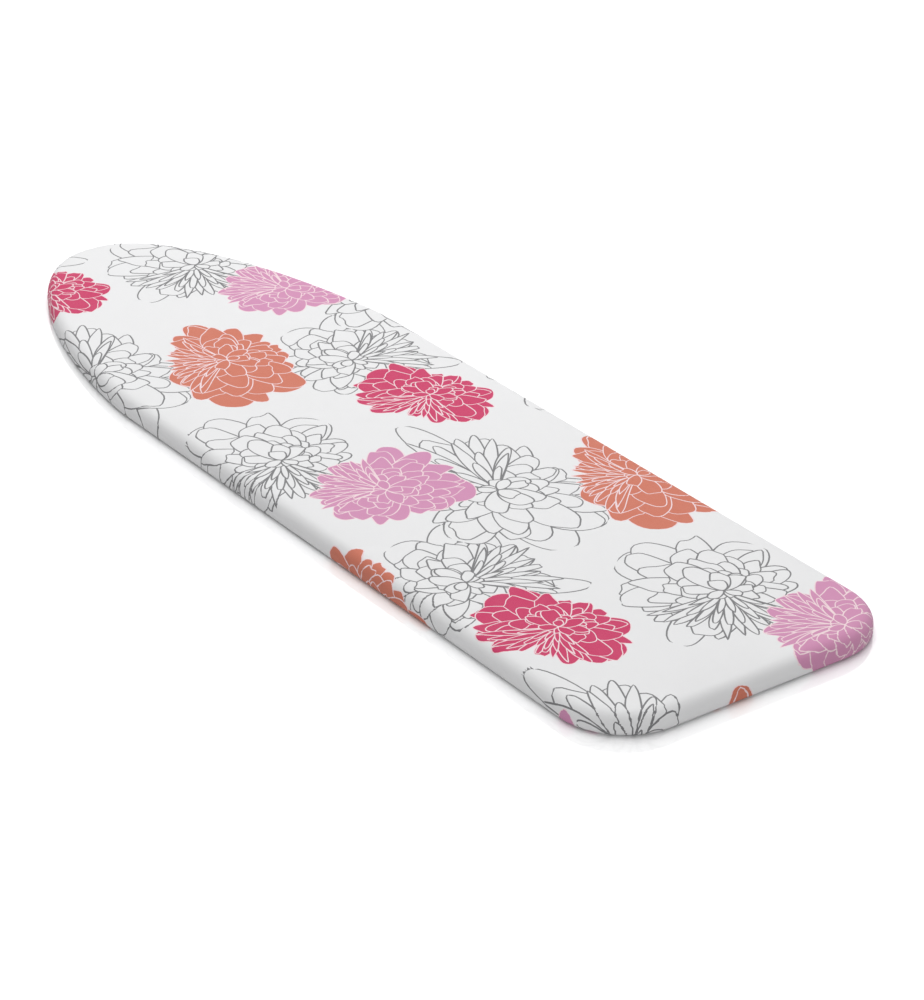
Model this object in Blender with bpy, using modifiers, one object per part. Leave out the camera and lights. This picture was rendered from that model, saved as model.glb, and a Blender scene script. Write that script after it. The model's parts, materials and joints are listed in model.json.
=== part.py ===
"""Folding ironing board with a cotton cover, folded flat: +X runs to the square
tail, -X to the rounded nose, +Z up, origin on the floor under the middle."""

import math

import bmesh
import bpy
from mathutils import Matrix, Vector

# ---------------------------------------------------------------- dimensions
GAP = 0.0003                # between pieces that touch

# top
LENGTH = 1.30
WIDTH = 0.38
CORNER_R = 0.078            # tail corners
NOSE_LENGTH = 0.402
NOSE_LONG_EXP = 1.42        # exponents of the nose's rounded curve
NOSE_WIDE_EXP = 2.23
DECK_T = 0.0008
PAD_T = 0.0025
COVER_T = 0.0007
EDGE_R = 0.014              # soft rolled edge of the cover
HEM_Z = 0.0012              # lowest point of the hem
HEM_DEPTH = 0.0195          # how far the hem reaches in under the edge
RIM_DEPTH = 0.0105
RIM_T = 0.0011

# legs
TUBE_R = 0.007              # leg and foot tubes
TUBE_WALL = 0.0012
TUBE_LIFT = 0.0025          # below the folded leg tubes, to the floor
TUBE_HEAD = 0.0030          # above them, to the deck
FOOT_S = 0.048              # rear foot's station, from the tail
ARM_SHORTER = 0.055         # the legs' upper arms are this much shorter than their lower ones
FOOT_SIDE = 0.0300          # room beside the front foot, to the nose's edge
REAR_FOOT_SIDE = 0.062      # room beside the rear foot tube
FOOT_CAP_SKIRT = 0.0068     # front foot caps reach this far along their tube
FOOT_CAP_ROOM = 0.0022      # and stop this far short of the legs
SPACER_ROOM = 0.0090        # between the rear and the front legs
OPEN_ANGLE = math.radians(54)
BAR_R = 0.0035              # pivot bolt and slider bar
PIN_R = 0.0025
AXLE_R = 0.0034
BRACE_ROOM = 0.0007         # between the brace and the lock rod above it
BAR_PLAY = 0.0004           # above and below the bar in its rail

# slide rail and height lock
RAIL_Y = 0.0185             # middle of each pair of track bars
TRACK_W = 0.0030
RAIL_T = 0.0012
ROD_OUT = 0.0155            # lock rod's axis beside the track bars' middle
ROD_ROOM = 0.0140           # and its distance from the rear leg tube's side
ROD_DROP = 0.0030           # lock rod's axis below the deck
ROD_R = 0.0018
COMB_T = 0.0014
TOOTH_PITCH = 0.036
TOOTH_COUNT = 6

# what follows from them
TAIL_X = LENGTH / 2
TAPER_FROM = LENGTH - NOSE_LENGTH
LEG_Z = TUBE_R + TUBE_LIFT                       # all leg centrelines when folded
DECK_Z = LEG_Z + TUBE_R + TUBE_HEAD              # underside of the steel deck
BRACE_R = TUBE_R + TUBE_HEAD - ROD_DROP - ROD_R - BRACE_ROOM
UNDER_Z = DECK_Z - GAP                           # top face of everything fixed below it
PAD_Z = DECK_Z + DECK_T + GAP
COVER_IN_Z = PAD_Z + PAD_T + GAP
TOP_Z = COVER_IN_Z + COVER_T
REAR_FOOT_HALF = WIDTH / 2 - REAR_FOOT_SIDE
ROD_Y = RAIL_Y + ROD_OUT
REAR_Y = ROD_Y + ROD_ROOM + TUBE_R
FRONT_Y = REAR_Y + 2 * TUBE_R + SPACER_ROOM
FRONT_FOOT_HALF = FRONT_Y + TUBE_R + FOOT_CAP_ROOM + FOOT_CAP_SKIRT


def nose_station(half_width):
    """Station where the nose has narrowed to a half width."""
    c = (half_width / (WIDTH / 2)) ** (NOSE_WIDE_EXP / 2)
    return TAPER_FROM + NOSE_LENGTH * math.sqrt(1 - c * c) ** (2 / NOSE_LONG_EXP)


NOSE_FOOT_S = nose_station(FRONT_FOOT_HALF + FOOT_SIDE) - LEG_Z
SHANK = (NOSE_FOOT_S - FOOT_S) / 2               # leg length below the centre pivot
ARM = SHANK - ARM_SHORTER                        # and above it
CENTRE_S = FOOT_S + SHANK
HINGE_S = CENTRE_S - ARM
SLIDER_S = CENTRE_S + ARM
BAR_OPEN_S = HINGE_S + 2 * ARM * math.cos(OPEN_ANGLE)
ROD_Z = DECK_Z - ROD_DROP
ROD_S0 = HINGE_S + 0.025
FIRST_TOOTH_S = BAR_OPEN_S + BAR_R + 0.0023      # just nose-side of the bar when the legs are fully open
ROD_S1 = FIRST_TOOTH_S + (TOOTH_COUNT - 1) * TOOTH_PITCH + 0.0160
BRACE_S = ROD_S0 + 0.172
CLIP_STATIONS = (ROD_S0 + 0.062, CENTRE_S - 0.129, CENTRE_S + 0.051)


def at(s):
    """World x of a station measured from the tail."""
    return TAIL_X - s


# ---------------------------------------------------------------- scene set-up
for old in list(bpy.data.objects):
    bpy.data.objects.remove(old, do_unlink=True)

PARTS = bpy.data.collections.new("ironing_board")
CUTTERS = bpy.data.collections.new("cutters")
for c in (PARTS, CUTTERS):
    bpy.context.scene.collection.children.link(c)


def material(name, colour, roughness, metallic=0.0):
    mat = bpy.data.materials.new(name)
    mat.use_nodes = True
    p = mat.node_tree.nodes["Principled BSDF"]
    p.inputs["Base Color"].default_value = (*colour, 1)
    p.inputs["Roughness"].default_value = roughness
    p.inputs["Metallic"].default_value = metallic
    mat.diffuse_color = (*colour, 1)
    return mat


COTTON = material("printed_cotton", (0.80, 0.80, 0.81), 0.85)
ELASTIC = material("elastic", (0.82, 0.82, 0.80), 0.7)
FELT = material("felt", (0.62, 0.62, 0.60), 0.95)
DECK_STEEL = material("deck_steel", (0.60, 0.61, 0.62), 0.4, 0.9)
POWDER = material("powder_coat", (0.72, 0.73, 0.74), 0.45, 0.1)
ZINC = material("zinc_plate", (0.62, 0.63, 0.65), 0.3, 1.0)
GREY_PLASTIC = material("grey_plastic", (0.23, 0.24, 0.26), 0.5)
RUBBER = material("rubber", (0.06, 0.06, 0.065), 0.75)
GRIP = material("grip_plastic", (0.62, 0.07, 0.20), 0.45)


def own(mat, name):
    """Each piece has a material of its own."""
    mine = mat.copy()
    mine.name = name + "_" + mat.name.split(".")[0]
    return mine


def add(name, data, mat, collection=PARTS):
    ob = bpy.data.objects.new(name, data)
    collection.objects.link(ob)
    if mat:
        data.materials.append(own(mat, name))
    return ob


# ---------------------------------------------------------------- outline
def outline(nose=48, corner=10):
    """Points of the board's edge in order, with their outward normals."""
    half = WIDTH / 2
    pts = []
    for i in range(corner + 1):                              # tail corner, +Y side
        a = math.pi / 2 * i / corner
        pts.append((CORNER_R * (1 - math.cos(a)), half - CORNER_R * (1 - math.sin(a))))
    for i in range(nose // 2 + 1):                           # nose, +Y side
        a = math.pi / 2 * i / (nose // 2)
        pts.append((TAPER_FROM + (LENGTH - TAPER_FROM) * math.sin(a) ** (2 / NOSE_LONG_EXP),
                    half * max(math.cos(a), 0.0) ** (2 / NOSE_WIDE_EXP)))
    pts[-1] = (LENGTH, 0.0)
    pts += [(s, -y) for s, y in reversed(pts[:-1])]
    pts = [Vector((at(s), y)) for s, y in pts]
    out = []
    n = len(pts)
    for i, p in enumerate(pts):
        a, b = pts[i] - pts[i - 1], pts[(i + 1) % n] - p
        t = (a.normalized() + b.normalized()).normalized()
        m = Vector((-t.y, t.x))
        if m.dot(p) < 0:
            m = -m
        # a mitre, so that each offset edge stays parallel to its own edge
        m /= max(m.dot(Vector((-a.y, a.x)).normalized() * (1 if Vector((-a.y, a.x)).dot(m) > 0 else -1)), 0.5)
        out.append((p, m))
    return out


EDGE = outline()


def inset(d):
    """The outline drawn in by d."""
    return [p - m * d for p, m in EDGE]


# ---------------------------------------------------------------- makers
def sweep(name, stations, profile, thickness, mat, closed=True, cap=False, outward=None):
    """Open surface run along edge stations through (inset, height) points, then thickened."""
    bm = bmesh.new()
    tag = bm.verts.layers.int.new("station")
    first = []
    for i, (p, m) in enumerate(stations):
        v = bm.verts.new((*(p - m * profile[0][0]), profile[0][1]))
        v[tag] = i
        first.append(v)
    count = len(first)
    edges = [bm.edges.new((first[i], first[(i + 1) % count])) for i in range(count if closed else count - 1)]
    for d, z in profile[1:]:
        new = bmesh.ops.extrude_edge_only(bm, edges=edges)["geom"]
        for v in (g for g in new if isinstance(g, bmesh.types.BMVert)):
            p, m = stations[v[tag]]
            v.co = (*(p - m * d), z)
        edges = [g for g in new if isinstance(g, bmesh.types.BMEdge)
                 and all(abs(v.co.z - z) < 1e-9 for v in g.verts)
                 and all((Vector(v.co.xy) - (stations[v[tag]][0] - stations[v[tag]][1] * d)).length < 1e-6 for v in g.verts)
                 and len(g.link_faces) == 1]
    if cap:
        bmesh.ops.contextual_create(bm, geom=edges)
    bmesh.ops.recalc_face_normals(bm, faces=bm.faces[:])
    probe = max(bm.faces, key=lambda f: f.calc_area()) if cap else max(
        bm.faces, key=lambda f: f.calc_center_median().xy.length)
    want = Vector((0, 0, 1)) if cap else Vector((*probe.calc_center_median().xy, 0))
    if outward:
        want = Vector(outward)
    if probe.normal.dot(want) < 0:
        bmesh.ops.reverse_faces(bm, faces=bm.faces[:])
    me = bpy.data.meshes.new(name)
    bm.to_mesh(me)
    bm.free()
    me.shade_smooth()
    me.set_sharp_from_angle(angle=math.radians(40))
    ob = add(name, me, mat)
    shell = ob.modifiers.new("thickness", "SOLIDIFY")
    shell.thickness, shell.offset, shell.use_even_offset = thickness, -1, True
    return ob


def plate(name, loops, low, high, mat, turn=None, place=(0, 0, 0)):
    """Flat outline with any holes, made thick between two heights along its own normal."""
    cu = bpy.data.curves.new(name, "CURVE")
    cu.dimensions, cu.fill_mode, cu.extrude = "2D", "BOTH", (high - low) / 2
    for loop in loops:
        sp = cu.splines.new("POLY")
        sp.points.add(len(loop) - 1)
        for q, xy in zip(sp.points, loop):
            q.co = (xy[0], xy[1], 0, 1)
        sp.use_cyclic_u = True
    ob = add(name, cu, mat)
    spin = turn or Matrix.Identity(3)
    ob.matrix_world = Matrix.Translation(Vector(place) + spin @ Vector((0, 0, (low + high) / 2))) @ spin.to_4x4()
    return ob


def block(name, centre, size, mat, bevel=0.0012, segments=2):
    """A box with rounded edges."""
    bpy.ops.mesh.primitive_cube_add(size=1, location=centre)
    ob = bpy.context.object
    ob.name = ob.data.name = name
    ob.data.transform(Matrix.Diagonal((*size, 1)))
    for c in list(ob.users_collection):
        c.objects.unlink(ob)
    PARTS.objects.link(ob)
    ob.data.materials.append(own(mat, name))
    if bevel:
        b = ob.modifiers.new("edges", "BEVEL")
        b.width, b.segments = bevel, segments
    return ob


ALONG = {"X": (0, math.pi / 2, 0), "Y": (-math.pi / 2, 0, 0), "Z": (0, 0, 0)}


def turned(name, profile, centre, axis, mat, steps=16, ring=False):
    """Shape turned about an axis from (radius, height) points running down its outer side."""
    me = bpy.data.meshes.new(name)
    bm = bmesh.new()
    vs = [bm.verts.new((r, 0, h)) for r, h in profile]
    for a, b in zip(vs, vs[1:] + ([vs[0]] if ring else [])):
        bm.edges.new((a, b))
    bm.to_mesh(me)
    bm.free()
    ob = add(name, me, mat)
    ob.location, ob.rotation_euler = centre, ALONG[axis]
    s = ob.modifiers.new("turn", "SCREW")
    s.steps = s.render_steps = steps
    s.use_merge_vertices, s.merge_threshold = True, 0.00001
    s.use_smooth_shade = True
    return ob


def hollow(name, a, b, axis, radius, wall, mat, steps=16):
    """Straight tube between two world points on an axis."""
    mid, h = (Vector(a) + Vector(b)) / 2, (Vector(a) - Vector(b)).length / 2
    prof = [(radius, h), (radius, -h), (radius - wall, -h), (radius - wall, h)]
    return turned(name, prof, mid, axis, mat, steps, ring=True)


def rod(name, centre, axis, radius, half, mat, chamfer=0.0005, steps=14):
    prof = [(0, half), (radius - chamfer, half), (radius, half - chamfer),
            (radius, chamfer - half), (radius - chamfer, -half), (0, -half)]
    return turned(name, prof, centre, axis, mat, steps)


def cutter(name, centre, axis, radius, depth, vertices=14):
    bpy.ops.mesh.primitive_cylinder_add(vertices=vertices, radius=radius, depth=depth,
                                        location=centre, rotation=ALONG[axis])
    ob = bpy.context.object
    ob.name = name
    for c in list(ob.users_collection):
        c.objects.unlink(ob)
    CUTTERS.objects.link(ob)
    ob.hide_render, ob.display_type = True, "WIRE"
    return ob


def cut(ob, tool):
    m = ob.modifiers.new(tool.name, "BOOLEAN")
    m.operation, m.object, m.solver = "DIFFERENCE", tool, "EXACT"


def joint(name, place, parent=None):
    """Empty on a joint's axis; it carries the pieces that move with that joint."""
    e = bpy.data.objects.new(name, None)
    PARTS.objects.link(e)
    e.empty_display_size = 0.03
    e.location = place
    if parent:
        bpy.context.view_layer.update()
        e.parent = parent
        e.matrix_parent_inverse = parent.matrix_world.inverted()
    return e


def carry(parent, *pieces):
    bpy.context.view_layer.update()
    for ob in pieces:
        ob.parent = parent
        ob.matrix_parent_inverse = parent.matrix_world.inverted()


def sides():
    return (("l", 1), ("r", -1))


# ---------------------------------------------------------------- board top
n_corner = 11                               # stations in one tail corner
n_all = len(EDGE)


def quarter(steps):
    """Cosine and sine of evenly spaced angles from level to upright."""
    return [(math.cos(math.pi / 2 * i / steps), math.sin(math.pi / 2 * i / steps)) for i in range(steps + 1)]


def tuck(z, skin=COVER_T + GAP):
    """How far a piece whose upper corner is at height z draws in to fit under the rolled edge."""
    return EDGE_R - math.sqrt(max((EDGE_R - skin) ** 2 - (z - TOP_Z + EDGE_R) ** 2, 0))


low_r = 0.0035
hem = [(HEM_DEPTH - 0.0045, HEM_Z + 0.0040), (HEM_DEPTH - 0.0010, HEM_Z + 0.0040), (HEM_DEPTH, HEM_Z + 0.0030),
       (HEM_DEPTH, HEM_Z + 0.0010), (HEM_DEPTH - 0.0010, HEM_Z)]          # tunnel curled round the elastic
hem += [(low_r * (1 - s), HEM_Z + low_r * (1 - c)) for c, s in quarter(2)]             # under-edge roll
hem += [(EDGE_R * (1 - c), TOP_Z - EDGE_R * (1 - s)) for c, s in quarter(5)]           # top-edge roll
cover = sweep("cover_fabric", EDGE, hem, COVER_T, COTTON, cap=True)

elastic_line = inset(HEM_DEPTH - 0.0030)
cu = bpy.data.curves.new("hem_elastic", "CURVE")
cu.dimensions, cu.bevel_depth, cu.bevel_resolution = "3D", 0.0008, 1
sp = cu.splines.new("POLY")
sp.points.add(len(elastic_line) - 1)
for q, p in zip(sp.points, elastic_line):
    q.co = (p.x, p.y, HEM_Z + 0.0020, 1)
sp.use_cyclic_u = True
elastic = add("hem_elastic", cu, ELASTIC)

pad = plate("pad_felt", [inset(tuck(PAD_Z + PAD_T))], PAD_Z, PAD_Z + PAD_T, FELT)


def vents():
    """Steam vents in staggered rows, kept clear of the edge."""
    rim_line = inset(0.030)
    loops = []
    for row in range(-2, 3):
        y = row * 0.062
        for k in range(17):
            s = 0.066 + 0.072 * k + (0.036 if row % 2 else 0)
            c = Vector((at(s), y))
            inside = all((rim_line[i] - rim_line[i - 1]).cross(c - rim_line[i - 1]) *
                         (rim_line[1] - rim_line[0]).cross(Vector((0, 0)) - rim_line[0]) > 0
                         for i in range(len(rim_line)) if (rim_line[i] - rim_line[i - 1]).length > 1e-6)
            if inside:
                loops.append([(c.x + 0.0045 * math.cos(math.pi / 3 * j), c.y + 0.0045 * math.sin(math.pi / 3 * j))
                              for j in range(6)])
    return loops


deck = plate("deck_panel", [inset(tuck(DECK_Z + DECK_T))] + vents(), DECK_Z, DECK_Z + DECK_T, DECK_STEEL)

# rolled steel rim in four lengths: an open channel facing inward
skin = COVER_T + 0.0007
crown = math.asin((UNDER_Z - TOP_Z + EDGE_R) / (EDGE_R - skin))
rim_profile = [(RIM_DEPTH, HEM_Z + 0.0012), (skin + 0.0016, HEM_Z + 0.0012), (skin, HEM_Z + 0.0028)]
rim_profile += [(EDGE_R - (EDGE_R - skin) * math.cos(crown * i / 3), TOP_Z - EDGE_R + (EDGE_R - skin) * math.sin(crown * i / 3))
                for i in range(4)]
rim_profile += [(RIM_DEPTH + 0.0040, UNDER_Z)]


def run(i, j):
    """Stations i..j of the edge, with both ends drawn back along it by half the gap."""
    pts = [EDGE[k % n_all] for k in range(i, j + 1)]
    (a, ma), (b, _) = pts[0], pts[1]
    (y, my), (x, _) = pts[-1], pts[-2]
    pts[0] = (a + (b - a).normalized() * GAP / 2, ma)
    pts[-1] = (y + (x - y).normalized() * GAP / 2, my)
    return pts


nose_first = n_corner                       # first station of the nose curve
nose_last = n_all - 1 - n_corner            # last one, mirrored
rim_parts = [
    sweep("rim_left", run(n_corner - 1, n_corner), rim_profile, RIM_T, ZINC, closed=False, outward=(0, 1, 0)),
    sweep("rim_nose", run(nose_first, nose_last), rim_profile, RIM_T, ZINC, closed=False, outward=(-1, 0, 0)),
    sweep("rim_right", run(nose_last, nose_last + 1), rim_profile, RIM_T, ZINC, closed=False, outward=(0, -1, 0)),
    sweep("rim_tail", run(nose_last + 1, n_all + n_corner - 1), rim_profile, RIM_T, ZINC, closed=False, outward=(1, 0, 0)),
]

# ---------------------------------------------------------------- rear foot, axle and rollers
FOOT = (at(FOOT_S), 0, LEG_Z)
ROLLER_Y0 = REAR_FOOT_HALF + 0.0024
ROLLER_Y1 = ROLLER_Y0 + 0.0110
axle = rod("roller_axle", FOOT, "Y", AXLE_R, ROLLER_Y1 + 0.0030, ZINC)
axle_caps, rollers, bushes = [], [], []
for tag, sign in sides():
    out = 1 if sign > 0 else -1
    # cap: cup over the axle's end, closed outside
    lo, hi, end = ROLLER_Y1 + GAP, ROLLER_Y1 + 0.0048, ROLLER_Y1 + 0.0030 + GAP
    prof = [(0, hi), (0.0042, hi), (0.0056, hi - 0.0012), (0.0056, lo), (AXLE_R + GAP, lo), (AXLE_R + GAP, end), (0, end)]
    if out < 0:
        prof = [(r, -h) for r, h in reversed(prof)]
    axle_caps.append(turned("axle_cap_" + tag, prof, FOOT, "Y", GREY_PLASTIC, 14))
    # roller: rubber-like tyre with softened edges on a bore
    a, b = ROLLER_Y0, ROLLER_Y1
    prof = [(LEG_Z - 0.0010, b), (LEG_Z, b - 0.0010), (LEG_Z, a + 0.0010), (LEG_Z - 0.0010, a),
            (AXLE_R + GAP, a), (AXLE_R + GAP, b)]
    if out < 0:
        prof = [(r, -h) for r, h in reversed(prof)]
    rollers.append(turned("roller_" + tag, prof, FOOT, "Y", RUBBER, 20, ring=True))
    # bush: flanged sleeve in the foot tube's end
    inner = TUBE_R - TUBE_WALL - GAP
    f0, f1, deep = REAR_FOOT_HALF + GAP, REAR_FOOT_HALF + 0.0021, REAR_FOOT_HALF - 0.014
    prof = [(TUBE_R, f1), (TUBE_R, f0), (inner, f0), (inner, deep), (AXLE_R + GAP, deep), (AXLE_R + GAP, f1)]
    if out < 0:
        prof = [(r, -h) for r, h in reversed(prof)]
    bushes.append(turned("rear_bush_" + tag, prof, FOOT, "Y", GREY_PLASTIC, 16, ring=True))

rear_foot = hollow("rear_foot_tube", (FOOT[0], REAR_FOOT_HALF, LEG_Z), (FOOT[0], -REAR_FOOT_HALF, LEG_Z),
                   "Y", TUBE_R, TUBE_WALL, POWDER)

# ---------------------------------------------------------------- legs
STUB_SLIDER = 0.0060
STUB_HINGE = 0.0045
cope_rear = cutter("cope_rear", FOOT, "Y", TUBE_R + GAP, 0.4, 24)
cope_nose = cutter("cope_nose", (at(NOSE_FOOT_S), 0, LEG_Z), "Y", TUBE_R + GAP, 0.4, 24)
bore_centre = cutter("bore_centre", (at(CENTRE_S), 0, LEG_Z), "Y", BAR_R + GAP, 0.4)
bore_slider = cutter("bore_slider", (at(SLIDER_S), 0, LEG_Z), "Y", BAR_R + GAP, 0.4)
bore_hinge = cutter("bore_hinge", (at(HINGE_S), 0, LEG_Z), "Y", PIN_R + GAP, 0.4)
rear_legs, front_legs = [], []
for tag, sign in sides():
    leg = hollow("rear_leg_" + tag, (at(FOOT_S), sign * REAR_Y, LEG_Z), (at(SLIDER_S + STUB_SLIDER), sign * REAR_Y, LEG_Z),
                 "X", TUBE_R, TUBE_WALL, POWDER)
    for tool in (cope_rear, bore_centre, bore_slider):
        cut(leg, tool)
    rear_legs.append(leg)
    leg = hollow("front_leg_" + tag, (at(HINGE_S - STUB_HINGE), sign * FRONT_Y, LEG_Z), (at(NOSE_FOOT_S), sign * FRONT_Y, LEG_Z),
                 "X", TUBE_R, TUBE_WALL, POWDER)
    for tool in (cope_nose, bore_centre, bore_hinge):
        cut(leg, tool)
    front_legs.append(leg)

brace = hollow("rear_brace", (at(BRACE_S), REAR_Y - TUBE_R - GAP, LEG_Z), (at(BRACE_S), GAP + TUBE_R - REAR_Y, LEG_Z),
               "Y", BRACE_R, 0.0010, POWDER, 16)

# slider bar: peened over the rear legs' outer sides
s0, s1 = REAR_Y + TUBE_R + GAP, REAR_Y + TUBE_R + 0.0024
bar = turned("slider_bar", [(0, s1), (0.0045, s1), (0.0056, s1 - 0.0008), (0.0056, s0), (BAR_R, s0), (BAR_R, -s0),
                            (0.0056, -s0), (0.0056, 0.0008 - s1), (0.0045, -s1), (0, -s1)],
             (at(SLIDER_S), 0, LEG_Z), "Y", ZINC, 16)
bush_half = RAIL_Y - TRACK_W / 2 - 0.0010
slider_bush = turned("slider_bush", [(0.0054, bush_half), (0.0062, bush_half - 0.0008), (0.0062, 0.0008 - bush_half),
                                     (0.0054, -bush_half), (BAR_R + GAP, -bush_half), (BAR_R + GAP, bush_half)],
                     (at(SLIDER_S), 0, LEG_Z), "Y", GREY_PLASTIC, 18, ring=True)

front_foot = hollow("front_foot_tube", (at(NOSE_FOOT_S), FRONT_FOOT_HALF, LEG_Z), (at(NOSE_FOOT_S), -FRONT_FOOT_HALF, LEG_Z),
                    "Y", TUBE_R, TUBE_WALL, POWDER)
front_caps = []
for tag, sign in sides():
    e = FRONT_FOOT_HALF
    prof = [(0, e + 0.0035), (LEG_Z - 0.0020, e + 0.0035), (LEG_Z, e + 0.0015), (LEG_Z, e - FOOT_CAP_SKIRT + 0.0008),
            (LEG_Z - 0.0008, e - FOOT_CAP_SKIRT),
            (TUBE_R + GAP, e - FOOT_CAP_SKIRT), (TUBE_R + GAP, e + GAP), (0, e + GAP)]
    if sign < 0:
        prof = [(r, -h) for r, h in reversed(prof)]
    front_caps.append(turned("front_cap_" + tag, prof, (at(NOSE_FOOT_S), 0, LEG_Z), "Y", RUBBER, 20))

# centre pivot through all four legs
h0 = FRONT_Y + TUBE_R + GAP
nut_out = h0 + 0.0044
bolt = turned("pivot_bolt", [(0, h0 + 0.0030), (BAR_R - 0.0005, h0 + 0.0030), (BAR_R, h0 + 0.0025), (BAR_R, -h0), (0.0062, -h0), (0.0062, -h0 - 0.0014),
                             (0.0038, -h0 - 0.0034), (0, -h0 - 0.0038)],
              (at(CENTRE_S), 0, LEG_Z), "Y", ZINC, 18)
nut = turned("pivot_nut", [(0, nut_out), (0.0040, nut_out - 0.0004), (0.0062, h0 + 0.0026), (0.0062, h0), (BAR_R + GAP, h0),
                           (BAR_R + GAP, h0 + 0.0030 + GAP), (0, h0 + 0.0030 + GAP)],
             (at(CENTRE_S), 0, LEG_Z), "Y", ZINC, 18)
spacers = []
for tag, sign in sides():
    a, b = REAR_Y + TUBE_R + GAP, FRONT_Y - TUBE_R - GAP
    prof = [(0.0065, b), (0.0065, a), (BAR_R + GAP, a), (BAR_R + GAP, b)]
    if sign < 0:
        prof = [(r, -h) for r, h in reversed(prof)]
    spacers.append(turned("pivot_spacer_" + tag, prof, (at(CENTRE_S), 0, LEG_Z), "Y", GREY_PLASTIC, 18, ring=True))

# ---------------------------------------------------------------- hinge brackets under the deck
EAR_T = 0.0012
EAR_OUT = TUBE_R + 0.0008 + EAR_T
brackets, pins = [], []
for tag, sign in sides():
    me = bpy.data.meshes.new("hinge_bracket_" + tag)
    bm = bmesh.new()
    prof = [(-EAR_OUT, 0.0028), (-EAR_OUT, UNDER_Z), (EAR_OUT, UNDER_Z), (EAR_OUT, 0.0028)]
    line = [bm.verts.new((at(HINGE_S) - 0.013, sign * FRONT_Y + y, z)) for y, z in prof]
    edges = [bm.edges.new((a, b)) for a, b in zip(line, line[1:])]
    new = bmesh.ops.extrude_edge_only(bm, edges=edges)["geom"]
    bmesh.ops.translate(bm, vec=(0.024, 0, 0), verts=[g for g in new if isinstance(g, bmesh.types.BMVert)])
    bmesh.ops.recalc_face_normals(bm, faces=bm.faces[:])
    top = max(bm.faces, key=lambda f: f.calc_center_median().z)
    if top.normal.z < 0:
        bmesh.ops.reverse_faces(bm, faces=bm.faces[:])
    bm.to_mesh(me)
    bm.free()
    b = add("hinge_bracket_" + tag, me, ZINC)
    sh = b.modifiers.new("thickness", "SOLIDIFY")
    sh.thickness, sh.offset, sh.use_even_offset = 0.0010, -1, True
    cut(b, bore_hinge)
    brackets.append(b)
    e0, e1 = EAR_OUT + GAP, EAR_OUT + 0.0018
    pins.append(turned("hinge_pin_" + tag, [(0, e1), (0.0032, e1), (0.0042, e1 - 0.0007), (0.0042, e0), (PIN_R, e0), (PIN_R, -e0),
                                            (0.0042, -e0), (0.0042, 0.0007 - e1), (0.0032, -e1), (0, -e1)],
                       (at(HINGE_S), sign * FRONT_Y, LEG_Z), "Y", ZINC, 14))

# ---------------------------------------------------------------- slide rail for the rear legs' bar
RAIL_S0 = BAR_OPEN_S - 0.0195
RAIL_S1 = SLIDER_S + 0.0195
rail_mid, rail_long = (at(RAIL_S0) + at(RAIL_S1)) / 2, RAIL_S1 - RAIL_S0
rail_plate = block("rail_plate", (rail_mid, 0, UNDER_Z - RAIL_T / 2), (rail_long, 2 * RAIL_Y + TRACK_W + 0.0010, RAIL_T), ZINC, 0)
tracks = []
BAR_CLEAR = BAR_R + BAR_PLAY
TRACK_LOW = HEM_Z + 0.0018
for tag, sign in sides():
    top, bottom = UNDER_Z - RAIL_T - GAP, LEG_Z + BAR_CLEAR
    tracks.append(block("rail_upper_" + tag, (rail_mid, sign * RAIL_Y, (top + bottom) / 2),
                        (rail_long, TRACK_W, top - bottom), ZINC, 0))
    top, bottom = LEG_Z - BAR_CLEAR, TRACK_LOW
    tracks.append(block("rail_lower_" + tag, (rail_mid, sign * RAIL_Y, (top + bottom) / 2),
                        (rail_long, TRACK_W, top - bottom), ZINC, 0))
ends = []
for name, s in (("rail_end_tail", RAIL_S0 + 0.0060), ("rail_end_nose", RAIL_S1 - 0.0060)):
    top, bottom = UNDER_Z - RAIL_T - GAP, TRACK_LOW
    ends.append(block(name, (at(s), 0, (top + bottom) / 2), (0.0110, 2 * (RAIL_Y - TRACK_W / 2 - GAP), top - bottom), GREY_PLASTIC, 0.0010))

# ---------------------------------------------------------------- rests and cradles
rests = []
for tag, sign in sides():
    rests.append(block("tail_rest_" + tag, (at(FOOT_S + 0.0280), sign * REAR_FOOT_HALF, UNDER_Z / 2), (0.026, 0.022, UNDER_Z), RUBBER, 0.0015))
cradles = []
slot = TUBE_R + 0.0006
for tag, sign in sides():
    # side view: a block with a slot open downward that the folded foot tube presses into
    top, half_w = UNDER_Z - LEG_Z, 0.0135
    loop = [(half_w, -LEG_Z), (half_w, top), (-half_w, top), (-half_w, -LEG_Z), (-slot, -LEG_Z), (-slot, 0)]
    loop += [(-slot * math.cos(a), slot * math.sin(a)) for a in (math.pi * k / 10 for k in range(1, 10))]
    loop += [(slot, 0), (slot, -LEG_Z)]
    stand = Matrix(((1, 0, 0), (0, 0, -1), (0, 1, 0)))
    cradles.append(plate("foot_cradle_" + tag, [loop], -0.008, 0.008, RUBBER, stand, (at(NOSE_FOOT_S), sign * (REAR_Y - 0.0050), LEG_Z)))

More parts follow.
